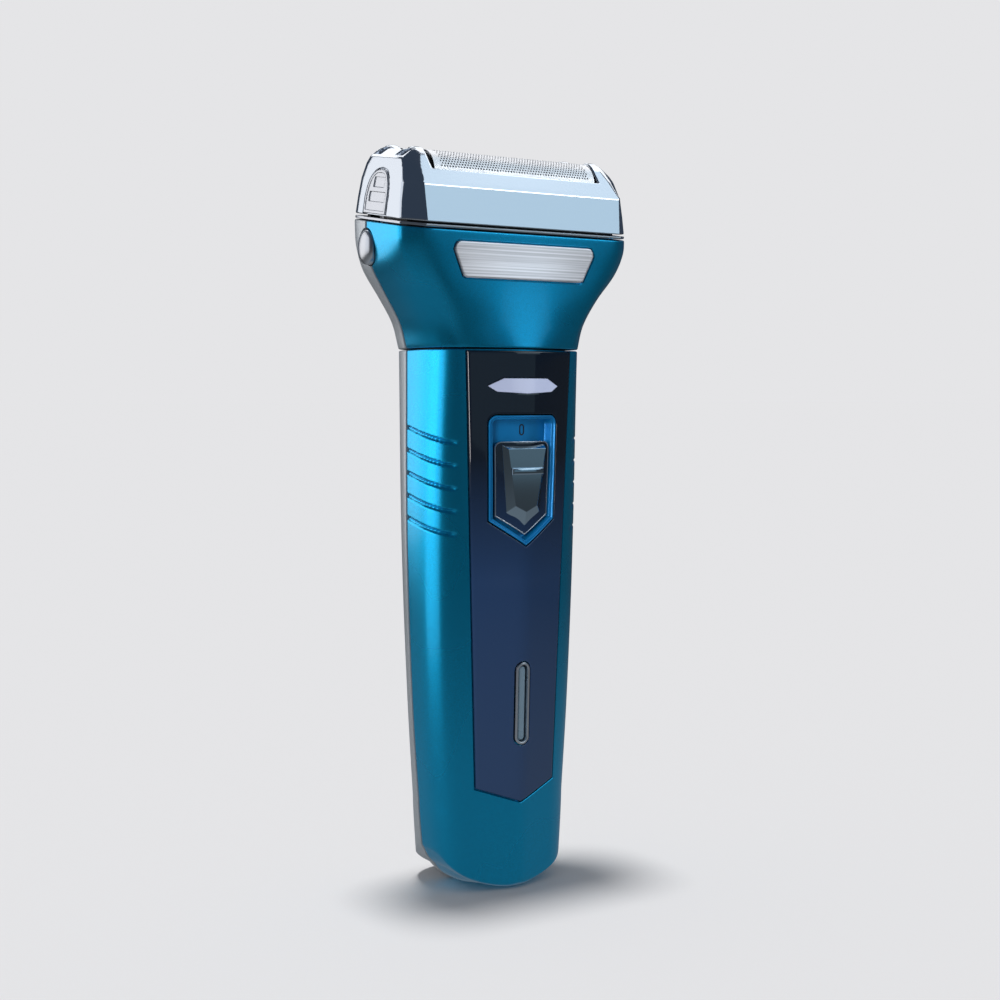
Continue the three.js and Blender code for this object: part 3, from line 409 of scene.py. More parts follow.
def inset_line(line, distance):
    """An open plan line moved inwards, its ends kept on the parting plane."""
    step = np.gradient(line, axis=0)
    normal = np.c_[-step[:, 1], step[:, 0]]
    normal /= np.linalg.norm(normal, axis=1)[:, None]
    moved = line + normal * distance
    moved[0] = (line[0, 0] - np.sign(line[0, 0]) * distance, line[0, 1])
    moved[-1] = (line[-1, 0] - np.sign(line[-1, 0]) * distance, line[-1, 1])
    return moved


print("points in a front outline", len(front_line(HANDLE, 60, PART_Y)))

# %% [markdown]
# ## The foot and the finger grooves
#
# The base is crowned like a keel, with a small flat foot. Five slanting finger grooves run from
# the parting line to the crease. They could be cut with booleans, but pressing them into the wall
# as a depth lets each one fade out before the facet, as the mould does, so its edges catch light.

# %% Foot and grooves
HANDLE_WALL = 2.4
CAVITY_FLOOR = 12
CROWN = [(0, 0), (2.5, 0), (6, 0.7), (10, 2.1), (12.8, 3.6), (15.1, 5.8), (16.6, 8.6), (18, 10.5)]
RIM_ROUND = 2.2
GROOVES = {"heights": (106.6, 101.4, 96.2, 91, 85.8), "slope": math.tan(math.radians(14)),
           "half": 0.5, "depth": 0.5, "fade_x": 15.4, "fade": 1.2}


def base_height(share, x):
    """Height of the underside at a share of the way out to the rim point at x."""
    crown = along(CROWN, np.abs(x * share)) * np.clip((share - 0.5) / 0.3, 0, 1)
    u = np.clip((share - 0.8) / 0.2, 0, 1)
    return crown + RIM_ROUND * (1 - np.sqrt(1 - u * u)) * (1 - np.clip(np.abs(x) / 15, 0, 1))


def groove_sink(points):
    """Depth of the finger grooves at each point of the wall."""
    drop = (PART_Y - points[..., 1]) * GROOVES["slope"]
    sink = np.zeros(points.shape[:-1])
    for height in GROOVES["heights"]:
        off = np.abs(points[..., 2] + drop - height) / GROOVES["half"]
        sink = np.maximum(sink, GROOVES["depth"] * np.clip(1 - off**2.5, 0, 1))
    beside = np.clip((np.abs(points[..., 0]) - GROOVES["fade_x"]) / GROOVES["fade"], 0, 1)
    return sink * beside * beside * (3 - 2 * beside)


print("finger grooves on each side", len(GROOVES["heights"]))

# %% [markdown]
# ## A closed skin
#
# A moulded shell has a real wall. Each one is built as a single closed skin: an outer grid of
# points, rolled over its edges, and an inner grid joined to it along the borders. A Solidify
# modifier would do for an even sheet, but not for a base that is thicker than the sides.

# %% Closed skin


def close_shell(name, outer, inner, sink, open_below=False):
    """A closed skin from outer and inner grids of points (rows, columns, 3). The rows of a base
    start at one point; a wall that is open below also gets a lower edge."""
    across = np.gradient(outer, axis=1)
    upward = np.gradient(outer, axis=0)
    normal = np.cross(across, upward)
    normal /= np.maximum(np.linalg.norm(normal, axis=2), 1e-9)[..., None]
    middle = outer[len(outer) * 3 // 4, outer.shape[1] // 2]
    facing = normal[len(outer) * 3 // 4, outer.shape[1] // 2]
    if facing[1] * middle[1] < 0:
        normal = -normal
    outer = outer - normal * sink[..., None]
    rows, columns = outer.shape[:2]
    ring = np.concatenate([outer, inner[:, ::-1]], axis=1)
    wide = 2 * columns
    faces = grid_faces(rows, wide)
    for start in ((rows - 1) * wide, 0) if open_below else ((rows - 1) * wide,):
        faces += [(start + c, start + c + 1, start + wide - 2 - c, start + wide - 1 - c)
                  for c in range(columns - 1)]
    return make_mesh(name, ring.reshape(-1, 3), faces)


def parting_reach(columns):
    """Distance of each column of points from the parting edge, up to the edge's radius."""
    reach = np.full(columns, EDGE)
    reach[:len(EDGE_STEPS)] = EDGE_STEPS[::-1]
    reach[-len(EDGE_STEPS):] = EDGE_STEPS
    return reach


print("wall", HANDLE_WALL, "mm, edges rounded to", EDGE, "mm")

# %% [markdown]
# ## The handle's shells
#
# The handle is two halves, as it comes from the mould: a painted front and a silver-grey rear
# that meet on a plane. The rows of points run from the middle of the base out to its rim and then
# up the wall, close together where the grooves are.

# %% Handle shells


def handle_levels():
    """Heights of the rows above the base: close together where the grooves are."""
    return np.concatenate([
        np.arange(20, 79, 2.0), np.arange(79, 110, 0.22), np.linspace(110, 123.4, 9),
        HANDLE_TOP - np.array(EDGE_STEPS),
    ])


def handle_shell(name, line, part_y, grooved):
    """One half of the handle, from the middle of the base to the top edge."""
    centre = np.array([0, part_y])
    rim = line(HANDLE, 6, part_y)
    shares = np.concatenate([np.linspace(0, 0.75, 10), np.linspace(0.8, 1, 13)])
    outer, inner = [], []
    floor = inset_line(line(HANDLE, CAVITY_FLOOR, part_y), HANDLE_WALL)
    for share in shares:
        flat = centre + share * (rim - centre)
        outer.append(np.c_[flat, base_height(share, rim[:, 0])])
        low = centre + share * (floor - centre)
        inner.append(np.c_[low, np.full(len(low), CAVITY_FLOOR)])
    wall = line(HANDLE, 20, part_y)
    low_rim = outer[-1]
    for t in np.linspace(0, 1, 9)[1:-1]:
        blend = 1 - (1 - t) ** 1.4
        outer.append(np.c_[rim + (wall - rim) * blend, low_rim[:, 2] + (20 - low_rim[:, 2]) * t])
        height = max(CAVITY_FLOOR, 20 * t)
        inner.append(np.c_[inset_line(line(HANDLE, height, part_y), HANDLE_WALL),
                           np.full(len(floor), height)])
    for z in handle_levels():
        section = line(HANDLE, z, part_y)
        outer.append(np.c_[section, np.full(len(section), z)])
        inner.append(np.c_[inset_line(section, HANDLE_WALL), np.full(len(section), z)])
    outer, inner = np.array(outer), np.array(inner)
    sink = edge_sink(parting_reach(outer.shape[1]))[None, :] + edge_sink(HANDLE_TOP - outer[..., 2])
    if grooved:
        sink = sink + groove_sink(outer)
    sink[0] = 0
    return close_shell(name, outer, inner, sink)


front_shell = handle_shell("front_shell_skin", front_line, PART_Y - GAP / 2, True)
rear_shell = handle_shell("rear_shell_skin", rear_line, PART_Y + GAP / 2, False)
print("front shell", len(front_shell.data.vertices), "points")

# %% [markdown]
# ## Plates that follow the surface
#
# The gloss panel, the switch tray, the light's frame and the badge are thin plates that lie in
# the curved front. Shrinkwrap could press a flat plate on to the shell, but its edges would lean
# with the faces below. Here the same sections that make the shell also say where a point lies at
# any height above it.

# %% A surface to lay plates on


def front_surface(tables, low, high):
    """A function that puts (x, z, height above the surface) on the front of a set of sections."""
    heights = np.arange(low, high + 0.01, 0.5)
    lines = [front_line(tables, z, PART_Y - GAP / 2) for z in heights]
    reach = min(float(np.max(line[:, 0])) for line in lines) - 0.3
    across = np.arange(-reach, reach + 0.01, 0.2)
    depth = []
    for line in lines:
        keep = line[:, 1] < 0
        depth.append(np.interp(across, line[keep, 0], line[keep, 1]))
    depth = np.array(depth)

    def level(x, z):
        u = np.clip((x - across[0]) / 0.2, 0, len(across) - 1.001)
        v = np.clip((z - heights[0]) / 0.5, 0, len(heights) - 1.001)
        i, j = u.astype(int), v.astype(int)
        fu, fv = u - i, v - j
        return ((depth[j, i] * (1 - fu) + depth[j, i + 1] * fu) * (1 - fv)
                + (depth[j + 1, i] * (1 - fu) + depth[j + 1, i + 1] * fu) * fv)

    def place(x, z, offset):
        x, z = np.asarray(x, float), np.asarray(z, float)
        y = level(x, z)
        slope_x = (level(x + 0.4, z) - level(x - 0.4, z)) / 0.8
        slope_z = (level(x, z + 0.6) - level(x, z - 0.6)) / 1.2
        size = np.sqrt(1 + slope_x**2 + slope_z**2)
        return np.stack([x + offset * slope_x / size, y - offset / size, z + offset * slope_z / size], -1)

    return place


on_handle = front_surface(HANDLE, 14, HANDLE_TOP + 2)
on_neck = front_surface(NECK, 125, 158)
print("front of the handle at mid height", np.round(on_handle(0, 60, 0), 2))

# %% [markdown]
# ## Outlines
#
# A plate is drawn flat, as it looks from the front. Its sides are split into short steps, so that
# they can follow the curve, and grown outwards or inwards for clearances and rounded edges.

# %% Outlines


def even_out(outline, spacing):
    """Split the sides of a closed outline into short steps, running anticlockwise."""
    outline = np.asarray(outline, float)
    nxt = np.roll(outline, -1, axis=0)
    if np.sum(outline[:, 0] * nxt[:, 1] - nxt[:, 0] * outline[:, 1]) < 0:
        outline = outline[::-1]
        nxt = np.roll(outline, -1, axis=0)
    points = []
    for a, b in zip(outline, nxt):
        count = max(1, int(math.ceil(np.linalg.norm(b - a) / spacing)))
        points += [a + (b - a) * k / count for k in range(count)]
    return np.array(points)


def grown(outline, distance):
    """A closed anticlockwise outline moved outwards."""
    before = outline - np.roll(outline, 1, axis=0)
    after = np.roll(outline, -1, axis=0) - outline
    before /= np.linalg.norm(before, axis=1)[:, None]
    after /= np.linalg.norm(after, axis=1)[:, None]
    normal = np.c_[before[:, 1] + after[:, 1], -(before[:, 0] + after[:, 0])]
    normal /= np.linalg.norm(normal, axis=1)[:, None]
    half = np.sqrt(np.clip((1 + np.sum(before * after, axis=1)) / 2, 0.25, 1))
    return outline + normal * (distance / half)[:, None]


def inside(points, loop):
    """Which points lie inside a closed outline."""
    x, z = points[:, 0:1], points[:, 1:2]
    ax, az = loop[:, 0][None], loop[:, 1][None]
    bx, bz = np.roll(loop[:, 0], -1)[None], np.roll(loop[:, 1], -1)[None]
    crosses = (az > z) != (bz > z)
    with np.errstate(divide="ignore", invalid="ignore"):
        hit = x < (bx - ax) * (z - az) / (bz - az) + ax
    return (np.sum(crosses & hit, axis=1) % 2) == 1


print("a 10 mm square grown by 1 mm:", grown(np.array([(0, 0), (10, 0), (10, 10), (0, 10.0)]), 1).tolist())

# %% [markdown]
# ## Filling and edging a plate
#
# The inside of an outline is filled with even triangles, since one large face would cut straight
# through the curved surface. The edge is a little profile of (grow outwards, height) steps, and a
# hole is edged in the same way. A bevel on a finished plate would not keep its width round the
# points and corners.

# %% Plates


def filled(loops, spacing):
    """Triangles between an outer loop and its holes: flat points and faces."""
    outer = loops[0]
    (x0, z0), (x1, z1) = outer.min(0), outer.max(0)
    gx, gz = np.meshgrid(np.arange(x0, x1, spacing), np.arange(z0, z1, spacing * 0.87))
    gx = gx + 0.5 * spacing * (np.arange(gx.shape[0]) % 2)[:, None]
    grid = np.c_[gx.ravel(), gz.ravel()]
    keep = inside(grid, outer)
    for hole in loops[1:]:
        keep &= ~inside(grid, hole)
    grid = grid[keep]
    border = np.concatenate(loops)
    near = np.min(np.linalg.norm(grid[:, None] - border[None], axis=2), axis=1) if len(grid) else []
    grid = grid[np.asarray(near) > 0.5 * spacing] if len(grid) else grid
    points = [Vector(p) for p in np.concatenate([border, grid])]
    edges, start = [], 0
    for loop in loops:
        edges += [(start + k, start + (k + 1) % len(loop)) for k in range(len(loop))]
        start += len(loop)
    found = delaunay_2d_cdt(points, edges, [], 0, 1e-6)
    flat = np.array([tuple(v) for v in found[0]])
    faces = np.array([f for f in found[2] if len(f) == 3])
    middle = flat[faces].mean(axis=1)
    keep = inside(middle, outer)
    for hole in loops[1:]:
        keep &= ~inside(middle, hole)
    return flat, faces[keep]


def plate(name, outline, steps, surface, holes=(), spacing=1.2, edge_spacing=0.7):
    """A closed plate on a surface. steps run from the top face over the edge to the underside,
    as (grow, height) pairs; each hole is (outline, steps) in the same way."""
    rims = [(even_out(outline, edge_spacing), steps, 1)]
    rims += [(even_out(hole, edge_spacing), hole_steps, -1) for hole, hole_steps in holes]
    points, faces = [], []
    count = 0
    for end in (0, -1):
        flat, tris = filled([grown(loop, s[end][0]) for loop, s, _ in rims], spacing)
        points.append(surface(flat[:, 0], flat[:, 1], steps[end][1]))
        faces += (tris + count).tolist()
        count += len(flat)
    for loop, rim_steps, _ in rims:
        for grow, height in rim_steps:
            ring = grown(loop, grow)
            points.append(surface(ring[:, 0], ring[:, 1], height))
        wall = np.array(grid_faces(len(rim_steps), len(loop))) + count
        faces += wall.tolist()
        count += len(rim_steps) * len(loop)
    return make_mesh(name, np.concatenate(points), faces, join_distance=2e-3)


def rolled(top, bottom, radius, count=4, flat=0.0):
    """Edge steps of a plate whose top edge is rounded, after a flat border if one is wanted."""
    turn = np.linspace(0, math.pi / 2, count + 1)
    steps = [(-radius - flat, top)] if flat else []
    steps += [(-radius + radius * math.sin(a), top - radius + radius * math.cos(a)) for a in turn]
    return steps + [(0, bottom)]


def hole_rolled(top, bottom, radius, count=3, flat=0.0):
    """Edge steps of a hole whose top edge is rounded."""
    return [(-grow, height) for grow, height in rolled(top, bottom, radius, count, flat)]


print("steps of a rounded edge", np.round(rolled(0, -1, 0.3), 2).tolist())

# %% [markdown]
# ## Outlines of the front panel
#
# The panel is a long shield with a shallow point below. It has openings for the switch tray and
# the charge light, and a pale inlay near its top. The inlay is a plain bar with bevelled ends.

# %% Panel outlines
PANEL = {"top": 123.7, "top_x": 14.1, "low_z": 24.1, "low_x": 10.6, "tip_z": 20.3}
PANEL_PROUD = 0.2
PANEL_BACK = -1.0
WELL = {"top": 109.2, "half": 9.1, "low": 85.4, "tip": 79.7, "corner": 2.0}
LIGHT = {"low": 33.7, "high": 52.8, "half": 1.85}
INLAY = {"z": 115.8, "half_x": 9.4, "half_z": 1.7}


def panel_outline(grow=0.0, top=None):
    """The panel seen from the front."""
    high = PANEL["top"] + grow if top is None else top
    return [(0, PANEL["tip_z"] - 1.05 * grow), (PANEL["low_x"] + grow, PANEL["low_z"] - 0.7 * grow),
            (PANEL["top_x"] + grow, high), (-PANEL["top_x"] - grow, high),
            (-PANEL["low_x"] - grow, PANEL["low_z"] - 0.7 * grow)]


def shield(half, top, low, tip, corner, count=8):
    """An outline with rounded upper corners and a pointed lower end."""
    turn = np.linspace(0, math.pi / 2, count)
    right = [(half - corner + corner * math.cos(a), top - corner + corner * math.sin(a)) for a in turn]
    left = [(-x, z) for x, z in right[::-1]]
    return [(0, tip), (half * 0.96, low)] + right + left + [(-half * 0.96, low)]


def stadium(half, low, high, count=12):
    """A slot with round ends."""
    below = [(half * math.cos(a), low + half + half * math.sin(a))
             for a in np.linspace(math.pi, 2 * math.pi, count)]
    above = [(half * math.cos(a), high - half + half * math.sin(a))
             for a in np.linspace(0, math.pi, count)]
    return below + above


def inlay_outline():
    """A plain bar with bevelled ends."""
    x, z, mid = INLAY["half_x"], INLAY["half_z"], INLAY["z"]
    return [(-x, mid), (-x * 0.78, mid - z * 0.75), (0, mid - z), (x * 0.78, mid - z * 0.75),
            (x, mid), (x * 0.62, mid + z), (-x * 0.62, mid + z)]


def with_gap(outline, gap=GAP):
    """An outline grown by the clearance."""
    return grown(even_out(outline, 0.7), gap)


well_outline = shield(WELL["half"], WELL["top"], WELL["low"], WELL["tip"], WELL["corner"])
light_outline = stadium(LIGHT["half"], LIGHT["low"], LIGHT["high"])
print("panel from", PANEL["tip_z"], "to", PANEL["top"], "mm")

# %% [markdown]
# ## The pocket in the front shell
#
# The panel is clipped into a pocket of the shell. The pocket is cut with a plate that flares at
# the surface, which leaves the small chamfer that every such pocket has. Two more openings in
# its floor let the tray and the light guide through.

# %% Pocket
pocket = plate(
    "pocket", panel_outline(GAP, HANDLE_TOP + 1.6),
    [(0.4, 0.9), (0.15, 0.05), (0.0, -0.12), (0.0, -1.3)], on_handle, spacing=2.5, edge_spacing=1.0,
)
well_opening = plate("well_opening", with_gap(well_outline), [(0, -0.9), (0, -5.5)], on_handle)
light_opening = plate("light_opening", stadium(1.3, LIGHT["low"] + 0.5, LIGHT["high"] - 0.5),
                      [(0, -0.9), (0, -5.5)], on_handle)
carve(front_shell, [pocket, well_opening, light_opening])
settle(front_shell, "front_shell")

# %% [markdown]
# ## The gloss panel and its inlay
#
# The panel stands a hair above the paint, and its rolled edge draws a bright line down its side.
# The rounding is geometry, because a shader bevel would vanish from an exported mesh.

# %% Panel and inlay
front_panel = plate(
    "front_panel_skin", panel_outline(), rolled(PANEL_PROUD, PANEL_BACK, 0.5, 6, flat=0.3), on_handle,
    holes=[
        (with_gap(well_outline), hole_rolled(PANEL_PROUD, PANEL_BACK, 0.15, flat=0.3)),
        (with_gap(light_outline), hole_rolled(PANEL_PROUD, PANEL_BACK, 0.15, flat=0.3)),
        (with_gap(inlay_outline(), 0.05), hole_rolled(PANEL_PROUD, PANEL_BACK, 0.08, flat=0.3)),
    ],
)
settle(front_panel, "front_panel")
inlay = plate(
    "inlay_bar", inlay_outline(), rolled(PANEL_PROUD + 0.05, -0.2, 0.12), on_handle, spacing=0.8)
settle(inlay, "panel_inlay")

# %% [markdown]
# ## The switch tray
#
# The switch sits in a shield-shaped tray with a raised lip. The tray's whole section, from the
# floor up the wall and over the lip, is one list of edge steps, so its corners stay crisp and
# even all the way round. A slot in the floor lets the slider's stem through.

# %% Switch tray
WELL_FLOOR = -2.3
WELL_BACK = -3.3
STEM = {"half": 2.2, "low": 91.0, "high": 97.0, "travel": 4.2}
tray_steps = [
    (-1.45, WELL_FLOOR), (-1.15, WELL_FLOOR + 0.1), (-1.02, WELL_FLOOR + 0.4), (-0.98, -0.5),
    (-0.9, -0.36), (-0.6, -0.33), (-0.48, -0.22), (-0.44, 0.02), (-0.36, 0.15), (-0.22, 0.2),
    (-0.08, 0.16), (0.0, 0.02), (0.0, WELL_BACK),
]
slot_low = STEM["low"] - GAP
slot_high = STEM["high"] + STEM["travel"] + GAP
slot_half = STEM["half"] + GAP
slot_outline = [(-slot_half, slot_low), (slot_half, slot_low),
                (slot_half, slot_high), (-slot_half, slot_high)]
tray = plate(
    "switch_tray", well_outline, tray_steps, on_handle,
    holes=[(slot_outline, [(0.1, WELL_FLOOR), (0.0, WELL_FLOOR - 0.1), (0.0, WELL_BACK)])],
    spacing=1.0, edge_spacing=0.5,
)
settle(tray, "switch_well")

# %% [markdown]
# ## The slider
#
# A dark shield with a plated rim carries a faceted wedge: two dark flanks, a bright chevron at
# the point and a finger bar across. The facets have to be truly flat to flash one at a time, so
# the wedge is a few plain faces with tiny rounds, not a sculpted form.

# %% Slider
SLIDER_TOP = -0.7
SLIDER_SHIELD = shield(7.6, 103.3, 86.4, 82.0, 1.6)
slider_plate = plate(
    "slider_plate", SLIDER_SHIELD, rolled(SLIDER_TOP, WELL_FLOOR + 0.4, 0.42, 5),
    on_handle, spacing=0.9, edge_spacing=0.5,
)


def wedge(low_ring, high_ring, low_offset, high_offset):
    """A faceted wedge between two outlines at two heights, with plain flat faces."""
    count = len(low_ring)
    lows = [on_handle(x, z, low_offset) for x, z in low_ring]
    sunk = [on_handle(x, z, low_offset - 0.3) for x, z in low_ring]
    crown = on_handle(3.2, 95, high_offset)[1]
    lean = (on_handle(3.2, 101, 0)[1] - on_handle(3.2, 89, 0)[1]) / 12
    highs = [np.array([x, crown + lean * (z - 95), z]) for x, z in high_ring]
    points = sunk + lows + highs
    faces = [list(range(count))[::-1], list(range(2 * count, 3 * count))]
    for k in range(count):
        n = (k + 1) % count
        faces += [[k, n, count + n, count + k], [count + k, count + n, 2 * count + n, 2 * count + k]]
    return make_mesh("wedge", points, faces)


slider_wedge = wedge(
    [(0, 84.2), (4.7, 87.2), (5.9, 102.6), (-5.9, 102.6), (-4.7, 87.2)],
    [(0, 87.3), (2.9, 88.7), (5.1, 101.7), (-5.1, 101.7), (-2.9, 88.7)],
    SLIDER_TOP + 0.05, 0.45,
)
round_edges(slider_wedge, 0.1, segments=2, angle=4)
finger_bar = plate(
    "finger_bar", [(-4, 95.8), (4, 95.8), (4, 97.4), (-4, 97.4)], rolled(1.25, -0.3, 0.4, 4),
    on_handle, spacing=0.5, edge_spacing=0.4,
)
stem_front = float(on_handle(0, 94, -2.0)[1])
stem = block((-STEM["half"], stem_front, STEM["low"]), (STEM["half"], -12.6, STEM["high"]), 0.2)
slider = merge([slider_wedge, finger_bar, stem], "slider_button")
settle(slider, "switch_slider", math.radians(24))
settle(slider_plate, "switch_slider", finish="gloss_black")


def outline_band(name, outline, top, bottom, roll, hole_roll, spacing):
    """A thin band, 0.3 mm wide, that follows the inside of an outline."""
    hole = (grown(even_out(outline, spacing[1]), -0.3), hole_rolled(top, bottom, hole_roll))
    return plate(name, outline, rolled(top, bottom, roll), on_handle, holes=[hole],
                 spacing=spacing[0], edge_spacing=spacing[1])


slider_rim = outline_band(
    "slider_rim", SLIDER_SHIELD, SLIDER_TOP + 0.06, SLIDER_TOP - 0.5, 0.12, 0.1, (0.5, 0.5))
settle(slider_rim, "switch_slider", finish="satin_silver")

# %% [markdown]
# ## The off mark
#
# A plain oval ring on the tray's floor marks the off position. It could be a painted mask, but a
# low raised ring keeps its shape in the exported mesh.

# %% Off mark
zero_mark = outline_band(
    "zero_mark", stadium(0.75, 104.6, 107.2), WELL_FLOOR + 0.12, WELL_FLOOR - 0.3, 0.08, 0.08, (0.3, 0.2))
settle(zero_mark, "switch_well", finish="black_plastic")

# %% [markdown]
# ## The charge light
#
# A thin plated frame stands round a sunken slot, and a cloudy light guide fills the slot. Both
# are plates on the same surface as the panel, so they tilt with it and their rims stay even.

# %% Charge light
bezel_wall = 0.6
lens_gap = bezel_wall + 0.35
bezel = plate(
    "light_frame", light_outline, rolled(PANEL_PROUD + 0.1, PANEL_BACK, 0.2), on_handle,
    holes=[(stadium(LIGHT["half"] - bezel_wall, LIGHT["low"] + bezel_wall, LIGHT["high"] - bezel_wall),
            hole_rolled(PANEL_PROUD + 0.1, PANEL_BACK, 0.15))],
    spacing=0.6, edge_spacing=0.4,
)
settle(bezel, "charge_light_bezel")
lens = plate(
    "light_guide", stadium(LIGHT["half"] - lens_gap, LIGHT["low"] + lens_gap, LIGHT["high"] - lens_gap),
    rolled(-0.25, PANEL_BACK, 0.3), on_handle, spacing=0.5, edge_spacing=0.35,
)
settle(lens, "charge_light_lens")

# %% [markdown]
# ## Screw holes
#
# Six self-tapping screws hold the shells together from behind. Each sits in a counterbore that
# flares where it meets the curved surface, so its rim stays round on a sloping wall.

# %% Screw holes
SHELL_SCREWS = [(-9.2, 20), (9.2, 20), (-14.6, 85), (14.6, 85)]
NECK_SCREWS = [(-14.5, 133.2), (14.5, 133.2)]
SEAT_DEPTH = 1.7


def rear_at(tables, x, z):
    """Y of the rear surface at (x, z)."""
    power = float(along(REAR_POWER, z))
    share = min(1, abs(x) / float(along(tables["width"], z)))
    return SECTION_Y + float(along(tables["rear"], z)) * (1 - share**power) ** (1 / power)


def screw_hole(tables, x, z):
    """A countersunk hole from behind, flared where it meets the surface."""
    mouth = rear_at(tables, x, z)
    seat = mouth - SEAT_DEPTH
    points, faces = turned(
        [(0, 0.5), (1.5, 0.5), (1.5, seat), (2.8, seat), (2.8, mouth - 0.5), (3.6, mouth + 1.8),
         (0, mouth + 1.8)],
        (x, 0, z), "y",
    )
    return make_mesh("hole", points, faces)


for x, z in SHELL_SCREWS:
    carve(rear_shell, [screw_hole(HANDLE, x, z)])
print("holes in the rear shell", len(SHELL_SCREWS))

# %% [markdown]
# ## Screws
#
# A screw has a shallow pan head with a cross recess. Its shank is a zigzag profile turned round
# the axis: the rings are closed instead of winding up as a thread does, which nobody can see once
# it is screwed in.

# %% Screws


def screw(name, node, tables, x, z):
    """A pan-head screw with a threaded shank and a cross recess."""
    seat = rear_at(tables, x, z) - SEAT_DEPTH + GAP
    thread = [(1.1 if k % 2 else 0.85, y)
              for k, y in enumerate(np.arange(seat - 13.6, seat - 0.6, 0.35))]
    profile = [(0, seat - 14), (0.5, seat - 14)] + thread + [
        (1.1, seat), (2.25, seat), (2.38, seat + 0.12), (2.38, seat + 0.45), (2.15, seat + 0.75),
        (1.6, seat + 0.93), (0, seat + 1.0),
    ]
    points, faces = turned(profile, (x, 0, z), "y", 32)
    body = make_mesh(name, points, faces)
    arm, width = 1.35, 0.28
    carve(body, [
        block((x - arm, seat + 0.4, z - width), (x + arm, seat + 2, z + width)),
        block((x - width, seat + 0.4, z - arm), (x + width, seat + 2, z + arm)),
    ])
    return settle(body, node, math.radians(40))


for number, (x, z) in enumerate(SHELL_SCREWS, 1):
    screw(f"case_screw_{number}", f"shell_screw_{number}", HANDLE, x, z)

# %% [markdown]
# ## The charging inlet
#
# A rounded socket is let into the base behind the foot, with two brass pins standing in it. Its
# body, its recess and the hole it fits in are the same rounded rectangle at different sizes,
# stacked at a few heights.

# %% Charging inlet
SOCKET = {"y": 6.2, "half_x": 5.9, "half_y": 3.0, "corner": 1.4, "top": 12.7}
PIN_X = {"left": -2.2, "right": 2.2}


def rounded_rectangle(half_x, half_y, corner, middle_y, count=7):
    """A rectangle with round corners, in plan."""
    points = []
    for sx, sy, start in ((1, -1, -90), (1, 1, 0), (-1, 1, 90), (-1, -1, 180)):
        for turn in np.radians(np.linspace(start, start + 90, count)):
            points.append((sx * (half_x - corner) + corner * math.cos(turn),
                           middle_y + sy * (half_y - corner) + corner * math.sin(turn)))
    return np.array(points)


def stack(levels):
    """Points and faces of plan outlines stacked at heights: a list of (outline, height)."""
    rings = [np.c_[outline, np.full(len(outline), height)] for outline, height in levels]
    count = len(rings[0])
    faces = grid_faces(len(rings), count)
    faces += [tuple(range(count))[::-1], tuple(range((len(rings) - 1) * count, len(rings) * count))]
    return np.concatenate(rings), faces


def socket_plan(grow):
    """The socket's plan outline."""
    return rounded_rectangle(SOCKET["half_x"] + grow, SOCKET["half_y"] + grow, SOCKET["corner"] + grow,
                             SOCKET["y"])


socket_hole = make_mesh("socket_hole", *stack([(socket_plan(0.9), -1.0), (socket_plan(GAP), 1.1),
                                               (socket_plan(GAP), CAVITY_FLOOR + 1)]))
carve(rear_shell, [socket_hole])
settle(rear_shell, "rear_shell")
recess = rounded_rectangle(4.4, 2.2, 0.5, SOCKET["y"])
inlet = make_mesh("inlet_housing", *stack([
    (socket_plan(-0.3), 0.35), (socket_plan(-0.09), 0.42), (socket_plan(0), 0.65),
    (socket_plan(0), SOCKET["top"]),
]))
carve(inlet, [make_mesh("recess", *stack([
    (rounded_rectangle(4.75, 2.55, 0.85, SOCKET["y"]), 0.2), (recess, 0.8), (recess, 11.6),
]))] + [make_mesh("pin_hole", *turned([(0, 11), (1.1, 11), (1.1, 14), (0, 14)], (x, SOCKET["y"], 0)))
        for x in PIN_X.values()])
settle(inlet, "charging_socket")
for side, x in PIN_X.items():
    pin = make_mesh(f"{side}_inlet_pin", *turned(
        [(0, 5.2), (0.35, 5.22), (0.65, 5.42), (0.8, 5.9), (0.8, 15.4), (0, 15.5)],
        (x, SOCKET["y"], 0), "z", 28))
    settle(pin, f"{side}_socket_pin")

# %% [markdown]
# ## The coupling
#
# The attachment slides over a hollow collar on top of the handle, and a rubber ring in a groove
# round it keeps water out. Both follow the handle's own outline at a small distance inside it,
# so one profile is carried round that outline instead of round a circle.

# %% Collar and seal
MOTOR_Y = 2.2
ECCENTRIC = 0.8


def handle_top_plan(offset, count=120):
    """The closed plan outline of the handle's top, moved in or out."""
    front = front_line(HANDLE, HANDLE_TOP, PART_Y)
    rear = rear_line(HANDLE, HANDLE_TOP, PART_Y)
    loop = even_out(np.concatenate([front, rear[1:-1]]), 0.3)
    pick = np.linspace(0, len(loop), count, endpoint=False).astype(int)
    return grown(loop[pick], offset)


def ring_of(name, profile):
    """A closed ring: a profile of (offset, height) carried round the top of the handle."""
    outlines = [(handle_top_plan(offset), height) for offset, height in profile]
    outlines.append(outlines[0])
    rings = [np.c_[outline, np.full(len(outline), height)] for outline, height in outlines]
    return make_mesh(name, np.concatenate(rings), grid_faces(len(rings), len(rings[0])))


